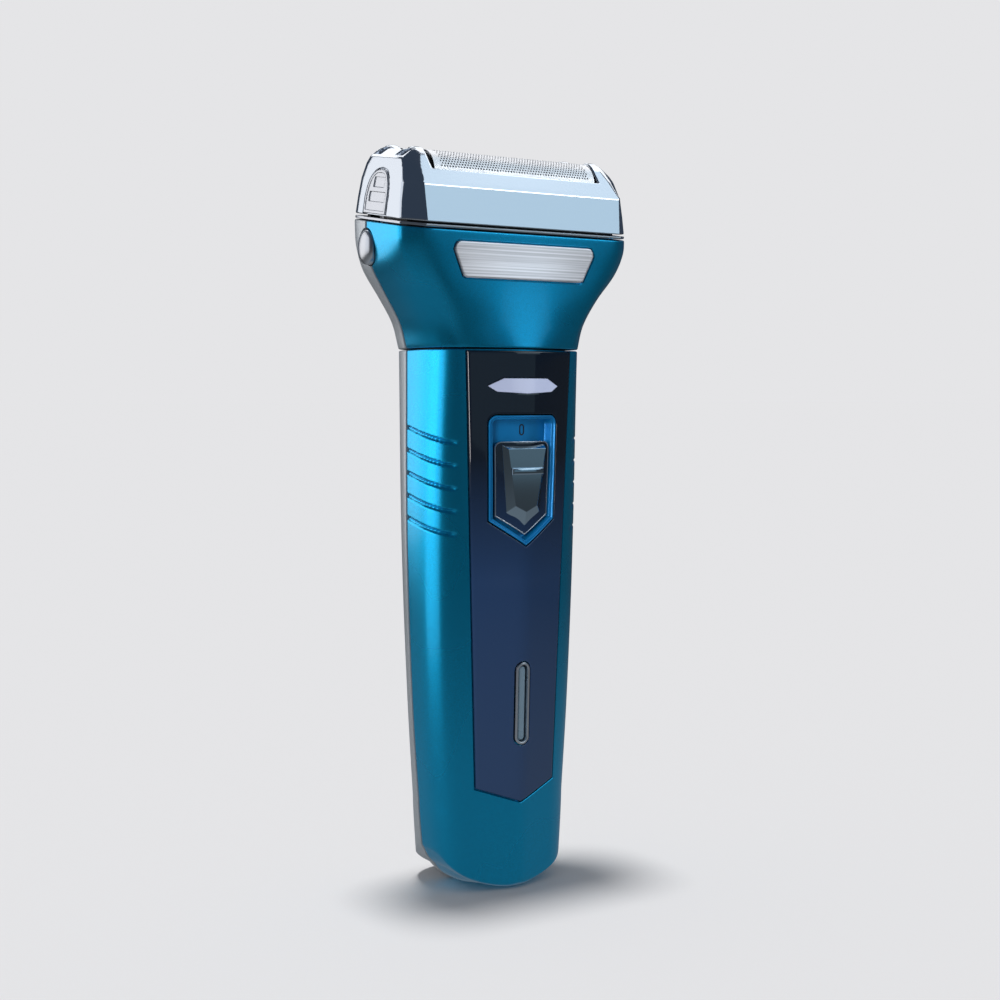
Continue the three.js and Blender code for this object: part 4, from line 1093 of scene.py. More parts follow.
collar = ring_of("collar_ring", [
    (-5.4, 118.6), (-3.2, 118.6), (-3.2, 125.3), (-3.32, 125.4), (-4.0, 125.4), (-4.0, 127.4),
    (-3.32, 127.4), (-3.2, 127.5), (-3.2, 129.2), (-3.3, 129.6), (-3.6, 129.9), (-4.0, 130.0),
    (-9.0, 130.0), (-9.0, 128.4), (-5.4, 128.4),
])
deck = make_mesh("deck", *stack([(handle_top_plan(-8.9), 128.4), (handle_top_plan(-8.9), 130.0)]))
carve(deck, [make_mesh("bore", *turned(
    [(0, 127), (4.2, 127), (4.2, 129.6), (4.7, 130.1), (4.7, 131), (0, 131)], (0, MOTOR_Y, 0)))])
settle(merge([collar, deck], "coupling_ring"), "coupling_collar")
seal = ring_of("seal_ring", [
    (-3.7, 125.6), (-3.25, 125.6), (-3.05, 125.8), (-2.98, 126.4), (-3.05, 127.0), (-3.25, 127.2),
    (-3.7, 127.2),
])
settle(seal, "collar_seal")

# %% [markdown]
# ## Shaft and crank
#
# The motor's shaft carries a disc with a pin beside its axis. The pin runs in a fork below the
# cutters and turns the rotation into the quick side-to-side swing that shaves. All three are
# turned on a lathe in the real machine, and here too.

# %% Shaft and crank
shaft = make_mesh("drive_shaft", *turned(
    [(0, 118.1), (0.9, 118.1), (1.0, 118.2), (1.0, 133.4), (0.9, 133.6), (0, 133.6)],
    (0, MOTOR_Y, 0), "z", 32))
settle(shaft, "motor_shaft")
crank_disc = make_mesh("crank_disc", *turned([
    (0, 133.9), (1.3, 133.9), (1.3, 131.8), (3.2, 131.8), (3.42, 131.88), (3.5, 132.1), (3.5, 134.7),
    (3.42, 134.92), (3.2, 135.0), (0, 135.0)], (0, MOTOR_Y, 0), "z", 48))
crank_pin = make_mesh("crank_pin", *turned(
    [(0, 134.6), (1, 134.6), (1, 140.7), (0.85, 140.93), (0.6, 141), (0, 141)],
    (ECCENTRIC, MOTOR_Y, 0), "z", 32))
settle(merge([crank_disc, crank_pin], "crank"), "eccentric_cam")

# %% [markdown]
# ## The neck of the attachment
#
# The neck flares from the handle's outline to the width of the foils. Its upper edge lies in the
# tilted plane of the head, so the rows of points climb to a different height at every column.
# Cutting a taller shell with a tilted plane would be simpler, but it would leave no rounded edge
# along the cut.

# %% Neck shells
NECK_WALL = 2.2
HEAD_SEAT = -1.2  # top of the neck below the head's base plane


def seat_height(y):
    """Height of the tilted plane that the head sits on."""
    return HEAD_ORIGIN + (HEAD_SEAT + math.sin(HEAD_TILT) * y) / math.cos(HEAD_TILT)


def neck_shell(name, line, part_y):
    """One half of the neck between the handle's top and the head."""
    low = HANDLE_TOP + GAP
    heights = np.arange(HANDLE_TOP, 158.1, 0.5)
    sections = np.array([line(NECK, z, part_y) for z in heights])
    walls = np.array([inset_line(section, NECK_WALL) for section in sections])

    def sample(stack_of_lines, z):
        v = np.clip((z - heights[0]) / 0.5, 0, len(heights) - 1.001)
        k = v.astype(int)
        f = (v - k)[:, None]
        column = np.arange(stack_of_lines.shape[1])
        return stack_of_lines[k, column] * (1 - f) + stack_of_lines[k + 1, column] * f

    top = np.full(sections.shape[1], 152.0)
    for _ in range(6):
        top = seat_height(sample(sections, top)[:, 1])
    shares = np.linspace(0, 1, 44)[1:-1]
    ladder = [low + d for d in EDGE_STEPS[::-1]]
    rows = [np.full_like(top, z) for z in ladder]
    rows += [low + EDGE + (top - low - 2 * EDGE) * s for s in shares]
    rows += [top - d for d in EDGE_STEPS]
    outer = np.array([np.c_[sample(sections, z), z] for z in rows])
    inner = np.array([np.c_[sample(walls, z), z] for z in rows])
    heights_at = outer[..., 2]
    sink = (edge_sink(parting_reach(outer.shape[1]))[None, :]
            + edge_sink(heights_at - low) + edge_sink(top[None, :] - heights_at))
    return close_shell(name, outer, inner, sink, open_below=True)


neck_front = neck_shell("neck_front_skin", front_line, PART_Y - GAP / 2)
neck_rear = neck_shell("neck_rear_skin", rear_line, PART_Y + GAP / 2)

# %% [markdown]
# ## The badge
#
# A brushed plate sits in a shallow pocket of the neck. It is left without any mark. It is made
# like the panel, from an outline laid on the neck's own surface, so it bows with the neck.

# %% Badge and its pocket
BADGE = {"low": 139.5, "wide": 145.6, "top": 147.4, "low_x": 16.2, "wide_x": 18.7, "top_x": 17.2}


def badge_outline():
    """A long plate with slanting lower corners and rounded upper ones."""
    right = [
        (BADGE["low_x"] - 0.9, BADGE["low"]), (BADGE["low_x"] - 0.1, BADGE["low"] + 0.35),
        (BADGE["wide_x"] - 0.35, BADGE["wide"] - 0.9), (BADGE["wide_x"], BADGE["wide"]),
        (BADGE["wide_x"] - 0.25, BADGE["wide"] + 1.0), (BADGE["top_x"] + 0.7, BADGE["top"] - 0.15),
        (BADGE["top_x"] - 0.1, BADGE["top"]),
    ]
    return right + [(-x, z) for x, z in right[::-1]]


badge_pocket = plate(
    "badge_pocket", with_gap(badge_outline(), 0.25), [(0.45, 0.8), (0.25, 0.04), (0, -0.2), (0, -0.95)],
    on_neck, spacing=1.6, edge_spacing=0.7,
)
carve(neck_front, [badge_pocket])
badge = plate(
    "badge_panel", badge_outline(), rolled(0.15, -0.65, 0.25, flat=0.25),
    on_neck, spacing=1.0, edge_spacing=0.5,
)
settle(badge, "badge_plate")

# %% [markdown]
# ## Holes for the release buttons
#
# An oval button on each side lets the head go. It moves in an oval hole that the two neck shells
# share, so the same flared oval is cut from both of them. The two neck screws go in here too,
# and then the neck's shells are done.

# %% Button holes and neck screws
BUTTON = {"y": 2.4, "z": 146.8, "half_y": 3.3, "half_z": 3.9}
SIDES = (("left", -1), ("right", 1))


def button_turned(profile, sign, grow=0.0):
    """An oval shape from a profile of (share of the oval, distance out along X)."""
    points, faces = turned(profile, (0, 0, 0), "x", 64, (BUTTON["half_y"] + grow, BUTTON["half_z"] + grow))
    return points * (sign, 1, 1) + (0, BUTTON["y"], BUTTON["z"]), faces


for side, sign in SIDES:
    for shell in (neck_front, neck_rear):
        carve(shell, [make_mesh("button_hole", *button_turned(
            [(0, 20), (1, 20), (1, 30.2), (1.09, 31.6), (1.09, 40), (0, 40)], sign, GAP))])
for number, (x, z) in enumerate(NECK_SCREWS, 1):
    carve(neck_rear, [screw_hole(NECK, x, z)])
    screw(f"throat_screw_{number}", f"neck_screw_{number}", NECK, x, z)
settle(neck_front, "neck_front_shell")
settle(neck_rear, "neck_rear_shell")

# %% [markdown]
# ## The release buttons
#
# A button is a domed cap with a flange that keeps it in its hole, and a latch arm that reaches
# up inside the neck. The cap is a profile turned into an oval and the arm is two boxes. They are
# joined but not fused, because the overlap is inside where it cannot be seen.

# %% Release buttons
FLANGE = [(0, 25), (0.42, 25), (0.42, 24.4), (1.16, 24.4), (1.2, 24.5), (1.2, 25.4), (1.17, 25.5), (1, 25.5)]
DOME = [(math.cos(a), 30.55 + 1.43 * math.sin(a)) for a in np.linspace(0, math.pi / 2, 12)[:-1]]
for side, sign in SIDES:
    cap = make_mesh("cap", *button_turned(FLANGE + DOME + [(0, 31.98)], sign))
    ends = sorted((25.0 * sign, 26.2 * sign))
    hook_ends = sorted((25.0 * sign, 28.2 * sign))
    arm = block((ends[0], 0.6, 147), (ends[1], 4.2, 156.6), 0.15)
    hook = block((hook_ends[0], 0.6, 155.4), (hook_ends[1], 4.2, 156.6), 0.15)
    settle(merge([cap, arm, hook], f"{side}_button_cap"), f"{side}_release_button")

# %% [markdown]
# ## The head as a distance field
#
# The plated frame has flat faces that meet at narrow rounded creases, windows, pockets and a
# hollow inside. It is easiest to describe as a distance: negative inside, positive outside.
# Joining two distances with a smooth maximum rounds the crease between them. All of this is in
# the head's own frame, which nods forward by nine degrees.

# %% The head's section as a distance
HEAD_FRONT = ([0, 8.4, 11.5, 16], [16.87, 14.62, 11.29, 6.5])
HEAD_FRONT_X = ([0, 8.4, 12, 16], [26.2, 26.6, 26.0, 24.4])
HEAD_CORNER = ([0, 8, 12, 16], [12.6, 10.7, 8.8, 5.0])
HEAD_HALF = ([0, 4, 8, 11.3, 13.6, 16], [30.4, 30.1, 29.6, 28.8, 28.0, 27.0])
HEAD_REAR = ([0, 8.4, 11.5, 13, 16], [12.5, 12.1, 11.5, 10.6, 6.5])
HEAD_BULGE = 0.3
HEAD_POWER = 5
CREASE = 0.45


def smooth_max(a, b, blend=CREASE):
    """The larger of two distances, rounded where they are nearly equal."""
    h = np.maximum(blend - np.abs(a - b), 0) / blend
    return np.maximum(a, b) + h * h * blend / 4


def half_plane(u, v, a, b):
    """Distance of (u, v) from the line a-b, positive on its right-hand side."""
    run, rise = b[0] - a[0], b[1] - a[1]
    return ((u - a[0]) * rise - (v - a[1]) * run) / np.hypot(run, rise)


def section_distance(x, y, z, blend=CREASE):
    """Distance from the head's outer wall."""
    ax = np.abs(x)
    level = np.clip(z, 0, 16)
    lower = half_plane(z, -y, (8.4, 14.62), (0, 16.87))
    upper = half_plane(z, -y, (16, 6.6), (8.4, 14.62))
    front = smooth_max(lower, upper, 0.35)
    front_y, front_x = np.interp(level, *HEAD_FRONT), np.interp(level, *HEAD_FRONT_X)
    corner_y, half = np.interp(level, *HEAD_CORNER), np.interp(level, *HEAD_HALF)
    corner = half_plane(ax, y, (front_x, -front_y), (half, -corner_y))
    wide = half + HEAD_BULGE
    side = ax - np.where(y < -corner_y / 2, half + HEAD_BULGE * (y + corner_y) / (corner_y / 2), wide)
    rear = np.interp(level, *HEAD_REAR)
    u, v = ax / wide, np.maximum(y - SECTION_Y, 0) / rear
    r = np.maximum((u**HEAD_POWER + v**HEAD_POWER) ** (1 / HEAD_POWER), 1e-6)
    slope = np.hypot((u / r) ** (HEAD_POWER - 1) / wide, (v / r) ** (HEAD_POWER - 1) / rear)
    back = (r - 1) / np.maximum(slope, 0.01)
    return smooth_max(smooth_max(front, corner, blend), smooth_max(side, back, blend), blend)


print("distance at the head's middle", round(float(section_distance(0.0, 0.0, 5.0)), 2), "mm")

# %% [markdown]
# ## The frame and its cut-outs
#
# The frame is the head's wall, cut to two humps with sloping shoulders. Out of it come a hollow
# for the cutters, slots for the foils, a small window in each shoulder and a pocket for the insert
# at each end. Each cut is a smooth maximum with the opening turned inside out, which leaves the
# small round that plating needs. Booleans would leave knife edges.

# %% Frame and insert
INSERT = {"y": -0.9, "half": 5.0, "top": 10.3, "low": 0.5}
SLOT_HALF = 22.4
FRAME_WALL = 1.5
HUMP_Y = np.array([-12, -9.6, -7.6, -6.2, -5, -3.7, -2, 0, 2, 3.7, 5, 6.2, 7.6, 9.6, 12])
HUMP_Z = np.array([12.9, 14, 15.1, 15.75, 15.9, 15.5, 14.5, 13.3, 14.5, 15.5, 15.9, 15.75, 15.1, 14, 12.9])


def arch_distance(y, z):
    """Distance from the pointed arch at each end of the head."""
    u = np.abs(y - INSERT["y"]) / INSERT["half"]
    rise = INSERT["top"] - INSERT["low"] - 3
    v = np.maximum(z - INSERT["low"] - 3, 0) / rise
    level = u**2.667 + v * v
    slope = np.hypot(2.667 * u**1.667 / INSERT["half"], 2 * v / rise)
    return smooth_max((level - 1) / np.maximum(slope, 0.12), INSERT["low"] - z, 0.3)


def tilted_box(x, y, z, middle, half, turn):
    """Distance from a box turned about Y, the same on both sides of the head."""
    u, w = np.abs(x) - middle[0], z - middle[2]
    along_box = u * math.cos(turn) - w * math.sin(turn)
    across_box = u * math.sin(turn) + w * math.cos(turn)
    v = np.abs(np.abs(y) - middle[1])
    return np.maximum(np.maximum(np.abs(along_box) - half[0], v - half[1]), np.abs(across_box) - half[2])


def frame_distance(x, y, z):
    """Distance from the plated frame."""
    ax = np.abs(x)
    wall = section_distance(x, y, z)
    hump = (z - np.interp(y, HUMP_Y, HUMP_Z)) * 0.88
    shoulder = np.maximum(z - 16.2, np.minimum(((z - 16.2) + 0.75 * (ax - 24.2)) / 1.25, z - 13.2))
    solid = smooth_max(smooth_max(wall, hump, 0.5), shoulder, 0.4)
    solid = smooth_max(solid, 0.15 - z, 0.3)
    hollow = np.maximum(section_distance(x, y, z, 0.2) + FRAME_WALL, z - 11.3)
    depth = np.interp(z, [9.1, 11.2, 20], [11.35, 11.05, 11.6])
    slot = np.maximum(ax - SLOT_HALF, np.abs(y) - depth)
    window = tilted_box(x, y, z, (26.3, 5.0, 14.7), (1.6, 1.7, 1.1), 0.64)
    arch = np.maximum(np.maximum(arch_distance(y, z) - GAP, -0.8 - wall), 20 - ax)
    for opening, blend in ((hollow, 0.2), (slot, 0.45), (window, 0.25), (arch, 0.3)):
        solid = smooth_max(solid, -opening, blend)
    return solid


def insert_distance(x, y, z):
    """Distance from the arch-shaped insert at each end, with a rim and two steps in it."""
    wall = section_distance(x, y, z)
    arch = arch_distance(y, z)
    solid = smooth_max(smooth_max(wall - 0.15, arch, 0.3), -0.5 - wall, 0.1)
    solid = smooth_max(solid, 12 - np.abs(x), 0.1)
    field = np.maximum(arch + 0.75, -0.02 - wall)
    high_step = np.maximum(np.abs(y - INSERT["y"] + 0.2) - 2.4, np.abs(z - 7.5) - 1.1)
    low_step = np.maximum(np.abs(y - INSERT["y"] + 0.1) - 3.5, np.abs(z - 4.25) - 1.05)
    steps = np.maximum(np.minimum(high_step, low_step), -0.28 - wall)
    return smooth_max(smooth_max(solid, -field, 0.15), -steps, 0.15)


print("frame wall", FRAME_WALL, "mm, creases rounded over", CREASE, "mm")

# %% [markdown]
# ## From field to surface
#
# OpenVDB turns the field into a net of quads. Its points are then moved on to the true surface,
# and the field's own slope gives each point its normal, so flat faces look flat and creases
# stay narrow. Marching the field without this step would leave a faint grid in the chrome.

# %% From field to surface
HEAD_TURN = np.array([
    [1, 0, 0],
    [0, math.cos(HEAD_TILT), -math.sin(HEAD_TILT)],
    [0, math.sin(HEAD_TILT), math.cos(HEAD_TILT)],
])


def to_object(points):
    """From the head's own frame to the object's, in millimetres."""
    return np.asarray(points) @ HEAD_TURN.T + (0, 0, HEAD_ORIGIN)


def slope_of(distance, points, reach):
    """Gradient of a field at each point."""
    columns = []
    for axis in range(3):
        step = np.zeros(3)
        step[axis] = reach
        high, low = points + step, points - step
        columns.append((distance(*high.T) - distance(*low.T)) / (2 * reach))
    return np.stack(columns, 1)


def surface_of(distance, low, high, pitch):
    """The zero surface of a field as a quad mesh with its true normals."""
    axes = [np.arange(a, b, pitch) for a, b in zip(low, high)]
    x, y, z = np.meshgrid(*axes, indexing="ij")
    grid = openvdb.FloatGrid()
    grid.background = 1.0
    grid.copyFromArray(np.ascontiguousarray(distance(x, y, z), dtype=np.float32))
    points, quads = grid.convertToQuads(0.0)
    points = points.astype(float) * pitch + np.array(low)
    for _ in range(3):
        slope = slope_of(distance, points, 0.02)
        length = np.maximum((slope**2).sum(1), 0.1)
        move = slope * (distance(*points.T) / length)[:, None]
        size = np.maximum(np.linalg.norm(move, axis=1, keepdims=True), 1e-9)
        points = points - move * np.minimum(1, pitch * 0.5 / size)
    normals = slope_of(distance, points, 0.06)
    normals = normals / np.maximum(np.linalg.norm(normals, axis=1, keepdims=True), 1e-9)
    return points, quads, normals


def field_piece(name, points, quads, normals):
    """A mesh from the head's frame, facing outwards, with its normals kept."""
    mesh = bpy.data.meshes.new(name)
    mesh.from_pydata((to_object(points) * MM).tolist(), [], quads.tolist())
    first = mesh.polygons[0]
    outward = HEAD_TURN @ normals[first.vertices[0]]
    if np.dot(outward, first.normal) < 0:
        mesh.flip_normals()
    mesh.shade_smooth()
    mesh.normals_split_custom_set_from_vertices((normals @ HEAD_TURN.T).tolist())
    piece = bpy.data.objects.new(name, mesh)
    scene.collection.objects.link(piece)
    return piece


frame_skin = field_piece("plated_frame", *surface_of(
    frame_distance, (-31.8, -18.2, -0.5), (31.8, 15.8, 16.8), 0.3))
settle(frame_skin, "foil_frame", None)
points, quads, normals = surface_of(insert_distance, (22, -6.8, -0.1), (31.6, 5.0, 11), 0.15)
for side, sign in SIDES:
    piece = field_piece(f"{side}_arch_insert", points * (sign, 1, 1), quads, normals * (sign, 1, 1))
    settle(piece, f"{side}_end_insert", None)

# %% [markdown]
# ## The trim ring
#
# A thin plated lip runs between the neck and the head, all the way round. It follows the head's
# plan at its base, so the outline comes from the same tables as the field.

# %% Trim ring


def head_plan(level=0.0, count=48):
    """The head's closed plan outline at a height."""
    front, side = float(np.interp(level, *HEAD_FRONT)), float(np.interp(level, *HEAD_HALF))
    corner, rear = float(np.interp(level, *HEAD_CORNER)), float(np.interp(level, *HEAD_REAR))
    half = [(float(np.interp(level, *HEAD_FRONT_X)), -front), (side, -corner),
            (side + HEAD_BULGE, -corner / 2)]
    for turn in np.linspace(0, math.pi / 2, count):
        half.append(((side + HEAD_BULGE) * max(0, math.cos(turn)) ** (2 / HEAD_POWER),
                     SECTION_Y + rear * math.sin(turn) ** (2 / HEAD_POWER)))
    half = half[:-1] + [(0, SECTION_Y + rear)]
    return np.array(half + [(-x, y) for x, y in half[-2::-1]])


plan = even_out(head_plan(), 0.7)
lip_profile = [(-2.2, -0.9), (-0.14, -0.9), (-0.03, -0.82), (0, -0.6), (-0.03, -0.38), (-0.14, -0.3),
               (-2.2, -0.3)]
rings = [np.c_[grown(plan, offset), np.full(len(plan), height)] for offset, height in lip_profile]
rings.append(rings[0])
trim = make_mesh("plated_lip", to_object(np.concatenate(rings)), grid_faces(len(rings), len(plan)))
settle(trim, "trim_ring")

# %% [markdown]
# ## A flat foil
#
# Each foil is a real sheet with round holes in staggered rows. A transparency mask would be
# lighter, but real holes show the sheet's thickness and survive the export. A cell is a rectangle
# with twelve points on its edge, joined to the twelve points of its hole. Cells of neighbouring
# rows are shifted by half a cell and still share their edge points.

# %% Flat foil
FOIL = {"radius": 5.75, "y": 5.3, "z": 9.7, "half": 21.6, "from": 26, "to": 163}
CELL = 0.73
ROWS = 22
HOLE = 0.225
SHEET = 0.09
arc_length = FOIL["radius"] * math.radians(FOIL["to"] - FOIL["from"])
ROW = arc_length / ROWS
ACROSS = 55  # cells in a row
sheet_start = -ACROSS * CELL / 2


def cell_edge(left, bottom, quarters):
    """Edge points of a cell that is a whole (4) or half (2) pitch wide."""
    width = quarters * CELL / 4
    low = [(left + width * k / quarters, bottom) for k in range(quarters + 1)]
    high = [(x, bottom + ROW) for x, _ in low[::-1]]
    return low + [(left + width, bottom + ROW / 2)] + high + [(left, bottom + ROW / 2)]


def flat_foil():
    """Points and faces of the flat perforated sheet."""
    points, faces = [], []

    def add(loop):
        faces.append(tuple(range(len(points), len(points) + len(loop))))
        points.extend(loop)

    ends = ((-FOIL["half"], sheet_start), (-sheet_start, FOIL["half"]))
    for row in range(ROWS):
        bottom = row * ROW
        for left, right in ends:
            for low, high in ((0, ROW / 2), (ROW / 2, ROW)):
                add([(left, bottom + low), (right, bottom + low),
                     (right, bottom + high), (left, bottom + high)])
        shift = row % 2
        if shift:
            add(cell_edge(sheet_start, bottom, 2))
            add(cell_edge(-sheet_start - CELL / 2, bottom, 2))
        for column in range(ACROSS - shift):
            left = sheet_start + (column + shift / 2) * CELL
            edge = cell_edge(left, bottom, 4)
            if row in (0, ROWS - 1):
                add(edge)
                continue
            middle = np.array((left + CELL / 2, bottom + ROW / 2))
            base = len(points)
            points.extend(edge)
            for x, y in edge:
                toward = math.atan2(y - middle[1], x - middle[0])
                points.append((middle[0] + HOLE * math.cos(toward), middle[1] + HOLE * math.sin(toward)))
            for k in range(12):
                n = (k + 1) % 12
                faces.append((base + k, base + n, base + 12 + n, base + 12 + k))
    return np.array(points), faces


flat, foil_faces = flat_foil()
print("holes in each foil", (ROWS - 2) * ACROSS - (ROWS - 2) // 2)

# %% [markdown]
# ## The bent foils
#
# The flat sheet is bent round the arch of its cutter, once in front and once mirrored behind,
# and then given its thickness. Bending first and thickening after keeps the holes round.

# %% Bent foils
bend = np.radians(FOIL["from"]) + flat[:, 1] / FOIL["radius"]
for side, sign in (("front", -1), ("rear", 1)):
    bent = np.c_[flat[:, 0], sign * (FOIL["y"] - FOIL["radius"] * np.cos(bend)),
                 FOIL["z"] + FOIL["radius"] * np.sin(bend)]
    sheet = make_mesh(f"{side}_foil_sheet", to_object(bent), foil_faces)
    outward = sheet.data.polygons[len(sheet.data.polygons) // 2]
    middle = to_object([(0, sign * FOIL["y"], FOIL["z"])])[0] * MM
    if outward.normal.dot(outward.center - Vector(middle)) < 0:
        sheet.data.flip_normals()
    thicken = sheet.modifiers.new("thickness", "SOLIDIFY")
    thicken.thickness = SHEET * MM
    thicken.offset = -1
    apply_modifier(sheet, thicken)
    settle(sheet, f"{side}_foil", math.radians(50))

# %% [markdown]
# ## Coil springs
#
# Each release button and each cutter has a coil spring, which flattens as its joint moves. Wire
# is swept along a helix whose end turns lie flat, as on a ground spring. A Screw modifier makes
# a helix as well, but not the flat ends.

# %% Springs


def coil(radius, wire, height, turns, around=10, per_turn=36):
    """Points and faces of a coil spring standing on z = 0, with its end turns laid flat."""
    share = np.linspace(0, 1, turns * per_turn + 1)
    flat = 0.75 / turns
    rise = np.clip((share - flat) / (1 - 2 * flat), 0, 1)
    rise = rise * 0.7 + share * 0.3
    turn = share * turns * 2 * math.pi
    axis = np.c_[radius * np.cos(turn), radius * np.sin(turn), wire + (height - 2 * wire) * rise]
    ahead = np.gradient(axis, axis=0)
    ahead /= np.linalg.norm(ahead, axis=1)[:, None]
    out = np.c_[np.cos(turn), np.sin(turn), np.zeros_like(turn)]
    up = np.cross(ahead, out)
    section = np.linspace(0, 2 * math.pi, around, endpoint=False)
    rings = (axis[:, None] + wire * (out[:, None] * np.cos(section)[None, :, None]
                                     + up[:, None] * np.sin(section)[None, :, None]))
    faces = grid_faces(len(rings), around)
    faces += [tuple(range(around))[::-1], tuple(range((len(rings) - 1) * around, len(rings) * around))]
    return rings.reshape(-1, 3), faces


SPRING_SEAT = 18.9
BUTTON_SPRING = 4.9
for side, sign in SIDES:
    points, faces = coil(2.1, 0.3, BUTTON_SPRING, 4)
    placed = np.c_[sign * (SPRING_SEAT + points[:, 2]),
                   BUTTON["y"] + points[:, 0], BUTTON["z"] + points[:, 1]]
    spring = settle(make_mesh(f"{side}_button_coil", placed, faces), f"{side}_button_spring")
    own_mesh(spring)
CUTTER_SPRING = 1.9
CUTTER_SEAT = 1.5
for side, sign in (("front", -1), ("rear", 1)):
    points, faces = coil(1.9, 0.25, CUTTER_SPRING, 3)
    placed = to_object(points + (0, sign * FOIL["y"], CUTTER_SEAT))
    spring = settle(make_mesh(f"{side}_cutter_coil", placed, faces), f"{side}_cutter_spring")
    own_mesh(spring)

# %% [markdown]
# ## Spring legs
#
# The bridge that swings the cutters hangs from the chassis on two thin steel legs. Their upper
# ends stay with the chassis, their lower ends go with the bridge, and they bend in between. Each
# leg is split into short rows along its length.

# %% Spring legs
LEG = {"x": 20.5, "half": 0.3, "y": (-8.6, -3.4), "z": (-12.4, -3.3)}
for side, sign in SIDES:
    middle = sign * LEG["x"]
    near, far = middle - LEG["half"], middle + LEG["half"]
    front, back = LEG["y"]
    plan = [(near, front), (far, front), (far, back), (near, back)]
    points, faces = stack([(plan, height) for height in np.linspace(*LEG["z"], 25)])
    leg = make_mesh(f"{side}_spring_leg", to_object(points), faces)
    node = f"{side}_flex_leg"
    shade(leg)
    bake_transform(leg)
    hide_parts(node)
    leg["finish"] = slot_of_node[node]
    pieces.append(leg)
    print(leg.name, "bends between the chassis and the bridge")

# %% [markdown]
# ## Shared surface effects
#
# No real surface is perfectly even. Node groups hold the effects that several materials share:
# uneven gloss from handling, the fine texture of a mould, metal flake, and brushed grain. They
# put out only roughness, brightness and height; the shader stays in each material.

# %% Node helpers


def new_group(name, inputs, outputs):
    """A shader node group with float inputs (name, value) and outputs (name, kind)."""
    group = bpy.data.node_groups.new(name, "ShaderNodeTree")
    for label, value in inputs:
        socket = group.interface.new_socket(label, in_out="INPUT", socket_type="NodeSocketFloat")
        socket.default_value = value
    for label, kind in outputs:
        group.interface.new_socket(label, in_out="OUTPUT", socket_type=f"NodeSocket{kind}")
    return group, group.nodes.new("NodeGroupInput"), group.nodes.new("NodeGroupOutput")


def noise(tree, vector, scale, detail):
    """A noise texture on the given coordinates, with its scale from a socket."""
    node = tree.nodes.new("ShaderNodeTexNoise")
    node.inputs["Detail"].default_value = detail
    tree.links.new(vector, node.inputs["Vector"])
    tree.links.new(scale, node.inputs["Scale"])
    return node.outputs[0]


def stretch_range(tree, value, low, high, new_low, new_high):
    """Map a value from one range to another; the new ends may be numbers or sockets."""
    node = tree.nodes.new("ShaderNodeMapRange")
    tree.links.new(value, node.inputs["Value"])
    node.inputs["From Min"].default_value = low
    node.inputs["From Max"].default_value = high
    for label, end in (("To Min", new_low), ("To Max", new_high)):
        if isinstance(end, (int, float)):
            node.inputs[label].default_value = end
        else:
            tree.links.new(end, node.inputs[label])
    return node.outputs["Result"]


def object_coordinates(tree):
    """Coordinates in metres that stay with the object."""
    return tree.nodes.new("ShaderNodeTexCoord").outputs["Object"]


print("node helpers ready, groups so far:", len(bpy.data.node_groups))

# %% [markdown]
# ### Uneven gloss
#
# Hands polish some places and dull others. A broad, soft noise moves the roughness between two
# values. A painted map would need texture space on every piece.

# %% Uneven gloss
gloss_group, gloss_in, gloss_out = new_group(
    "uneven gloss", [("Lowest", 0.2), ("Highest", 0.3), ("Scale", 60)], [("Roughness", "Float")])
patches = noise(gloss_group, object_coordinates(gloss_group), gloss_in.outputs["Scale"], 1.5)
gloss_group.links.new(
    stretch_range(gloss_group, patches, 0.2, 0.8, gloss_in.outputs["Lowest"], gloss_in.outputs["Highest"]),
    gloss_out.inputs["Roughness"])
print("group:", gloss_group.name)

# %% [markdown]
# ### Mould texture
#
# Moulded plastic copies the fine spark-eroded texture of its mould. It is far too small to model,
# so it is a noise that gives the height of a bump.

# %% Mould texture
mould_group, mould_in, mould_out = new_group("mould texture", [("Scale", 3000)], [("Height", "Float")])
mould_group.links.new(noise(mould_group, object_coordinates(mould_group), mould_in.outputs["Scale"], 2),
                      mould_out.inputs["Height"])
print("group:", mould_group.name)

# %% [markdown]
# ### Metal flake
#
# The paint holds tiny flakes of metal that lie at slightly different angles. Each cell of a
# Voronoi pattern is one flake with its own brightness. A noise would look cloudy, not grainy.

# %% Metal flake
flake_group, flake_in, flake_out = new_group(
    "metal flake", [("Scale", 9000), ("Spread", 0.2)], [("Brightness", "Float"), ("Height", "Float")])
cells = flake_group.nodes.new("ShaderNodeTexVoronoi")
flake_group.links.new(object_coordinates(flake_group), cells.inputs["Vector"])
flake_group.links.new(flake_in.outputs["Scale"], cells.inputs["Scale"])
split = flake_group.nodes.new("ShaderNodeSeparateColor")
flake_group.links.new(cells.outputs["Color"], split.inputs["Color"])
darkest = flake_group.nodes.new("ShaderNodeMath")
darkest.operation = "SUBTRACT"
darkest.inputs[0].default_value = 1
flake_group.links.new(flake_in.outputs["Spread"], darkest.inputs[1])
flake_group.links.new(stretch_range(flake_group, split.outputs["Red"], 0, 1, darkest.outputs[0], 1.0),
                      flake_out.inputs["Brightness"])
flake_group.links.new(split.outputs["Green"], flake_out.inputs["Height"])
print("group:", flake_group.name)

# %% [markdown]
# ### Brushed grain
#
# The badge was rubbed lengthwise with an abrasive belt. A noise stretched along X gives long
# streaks, which change both the brightness and the height.

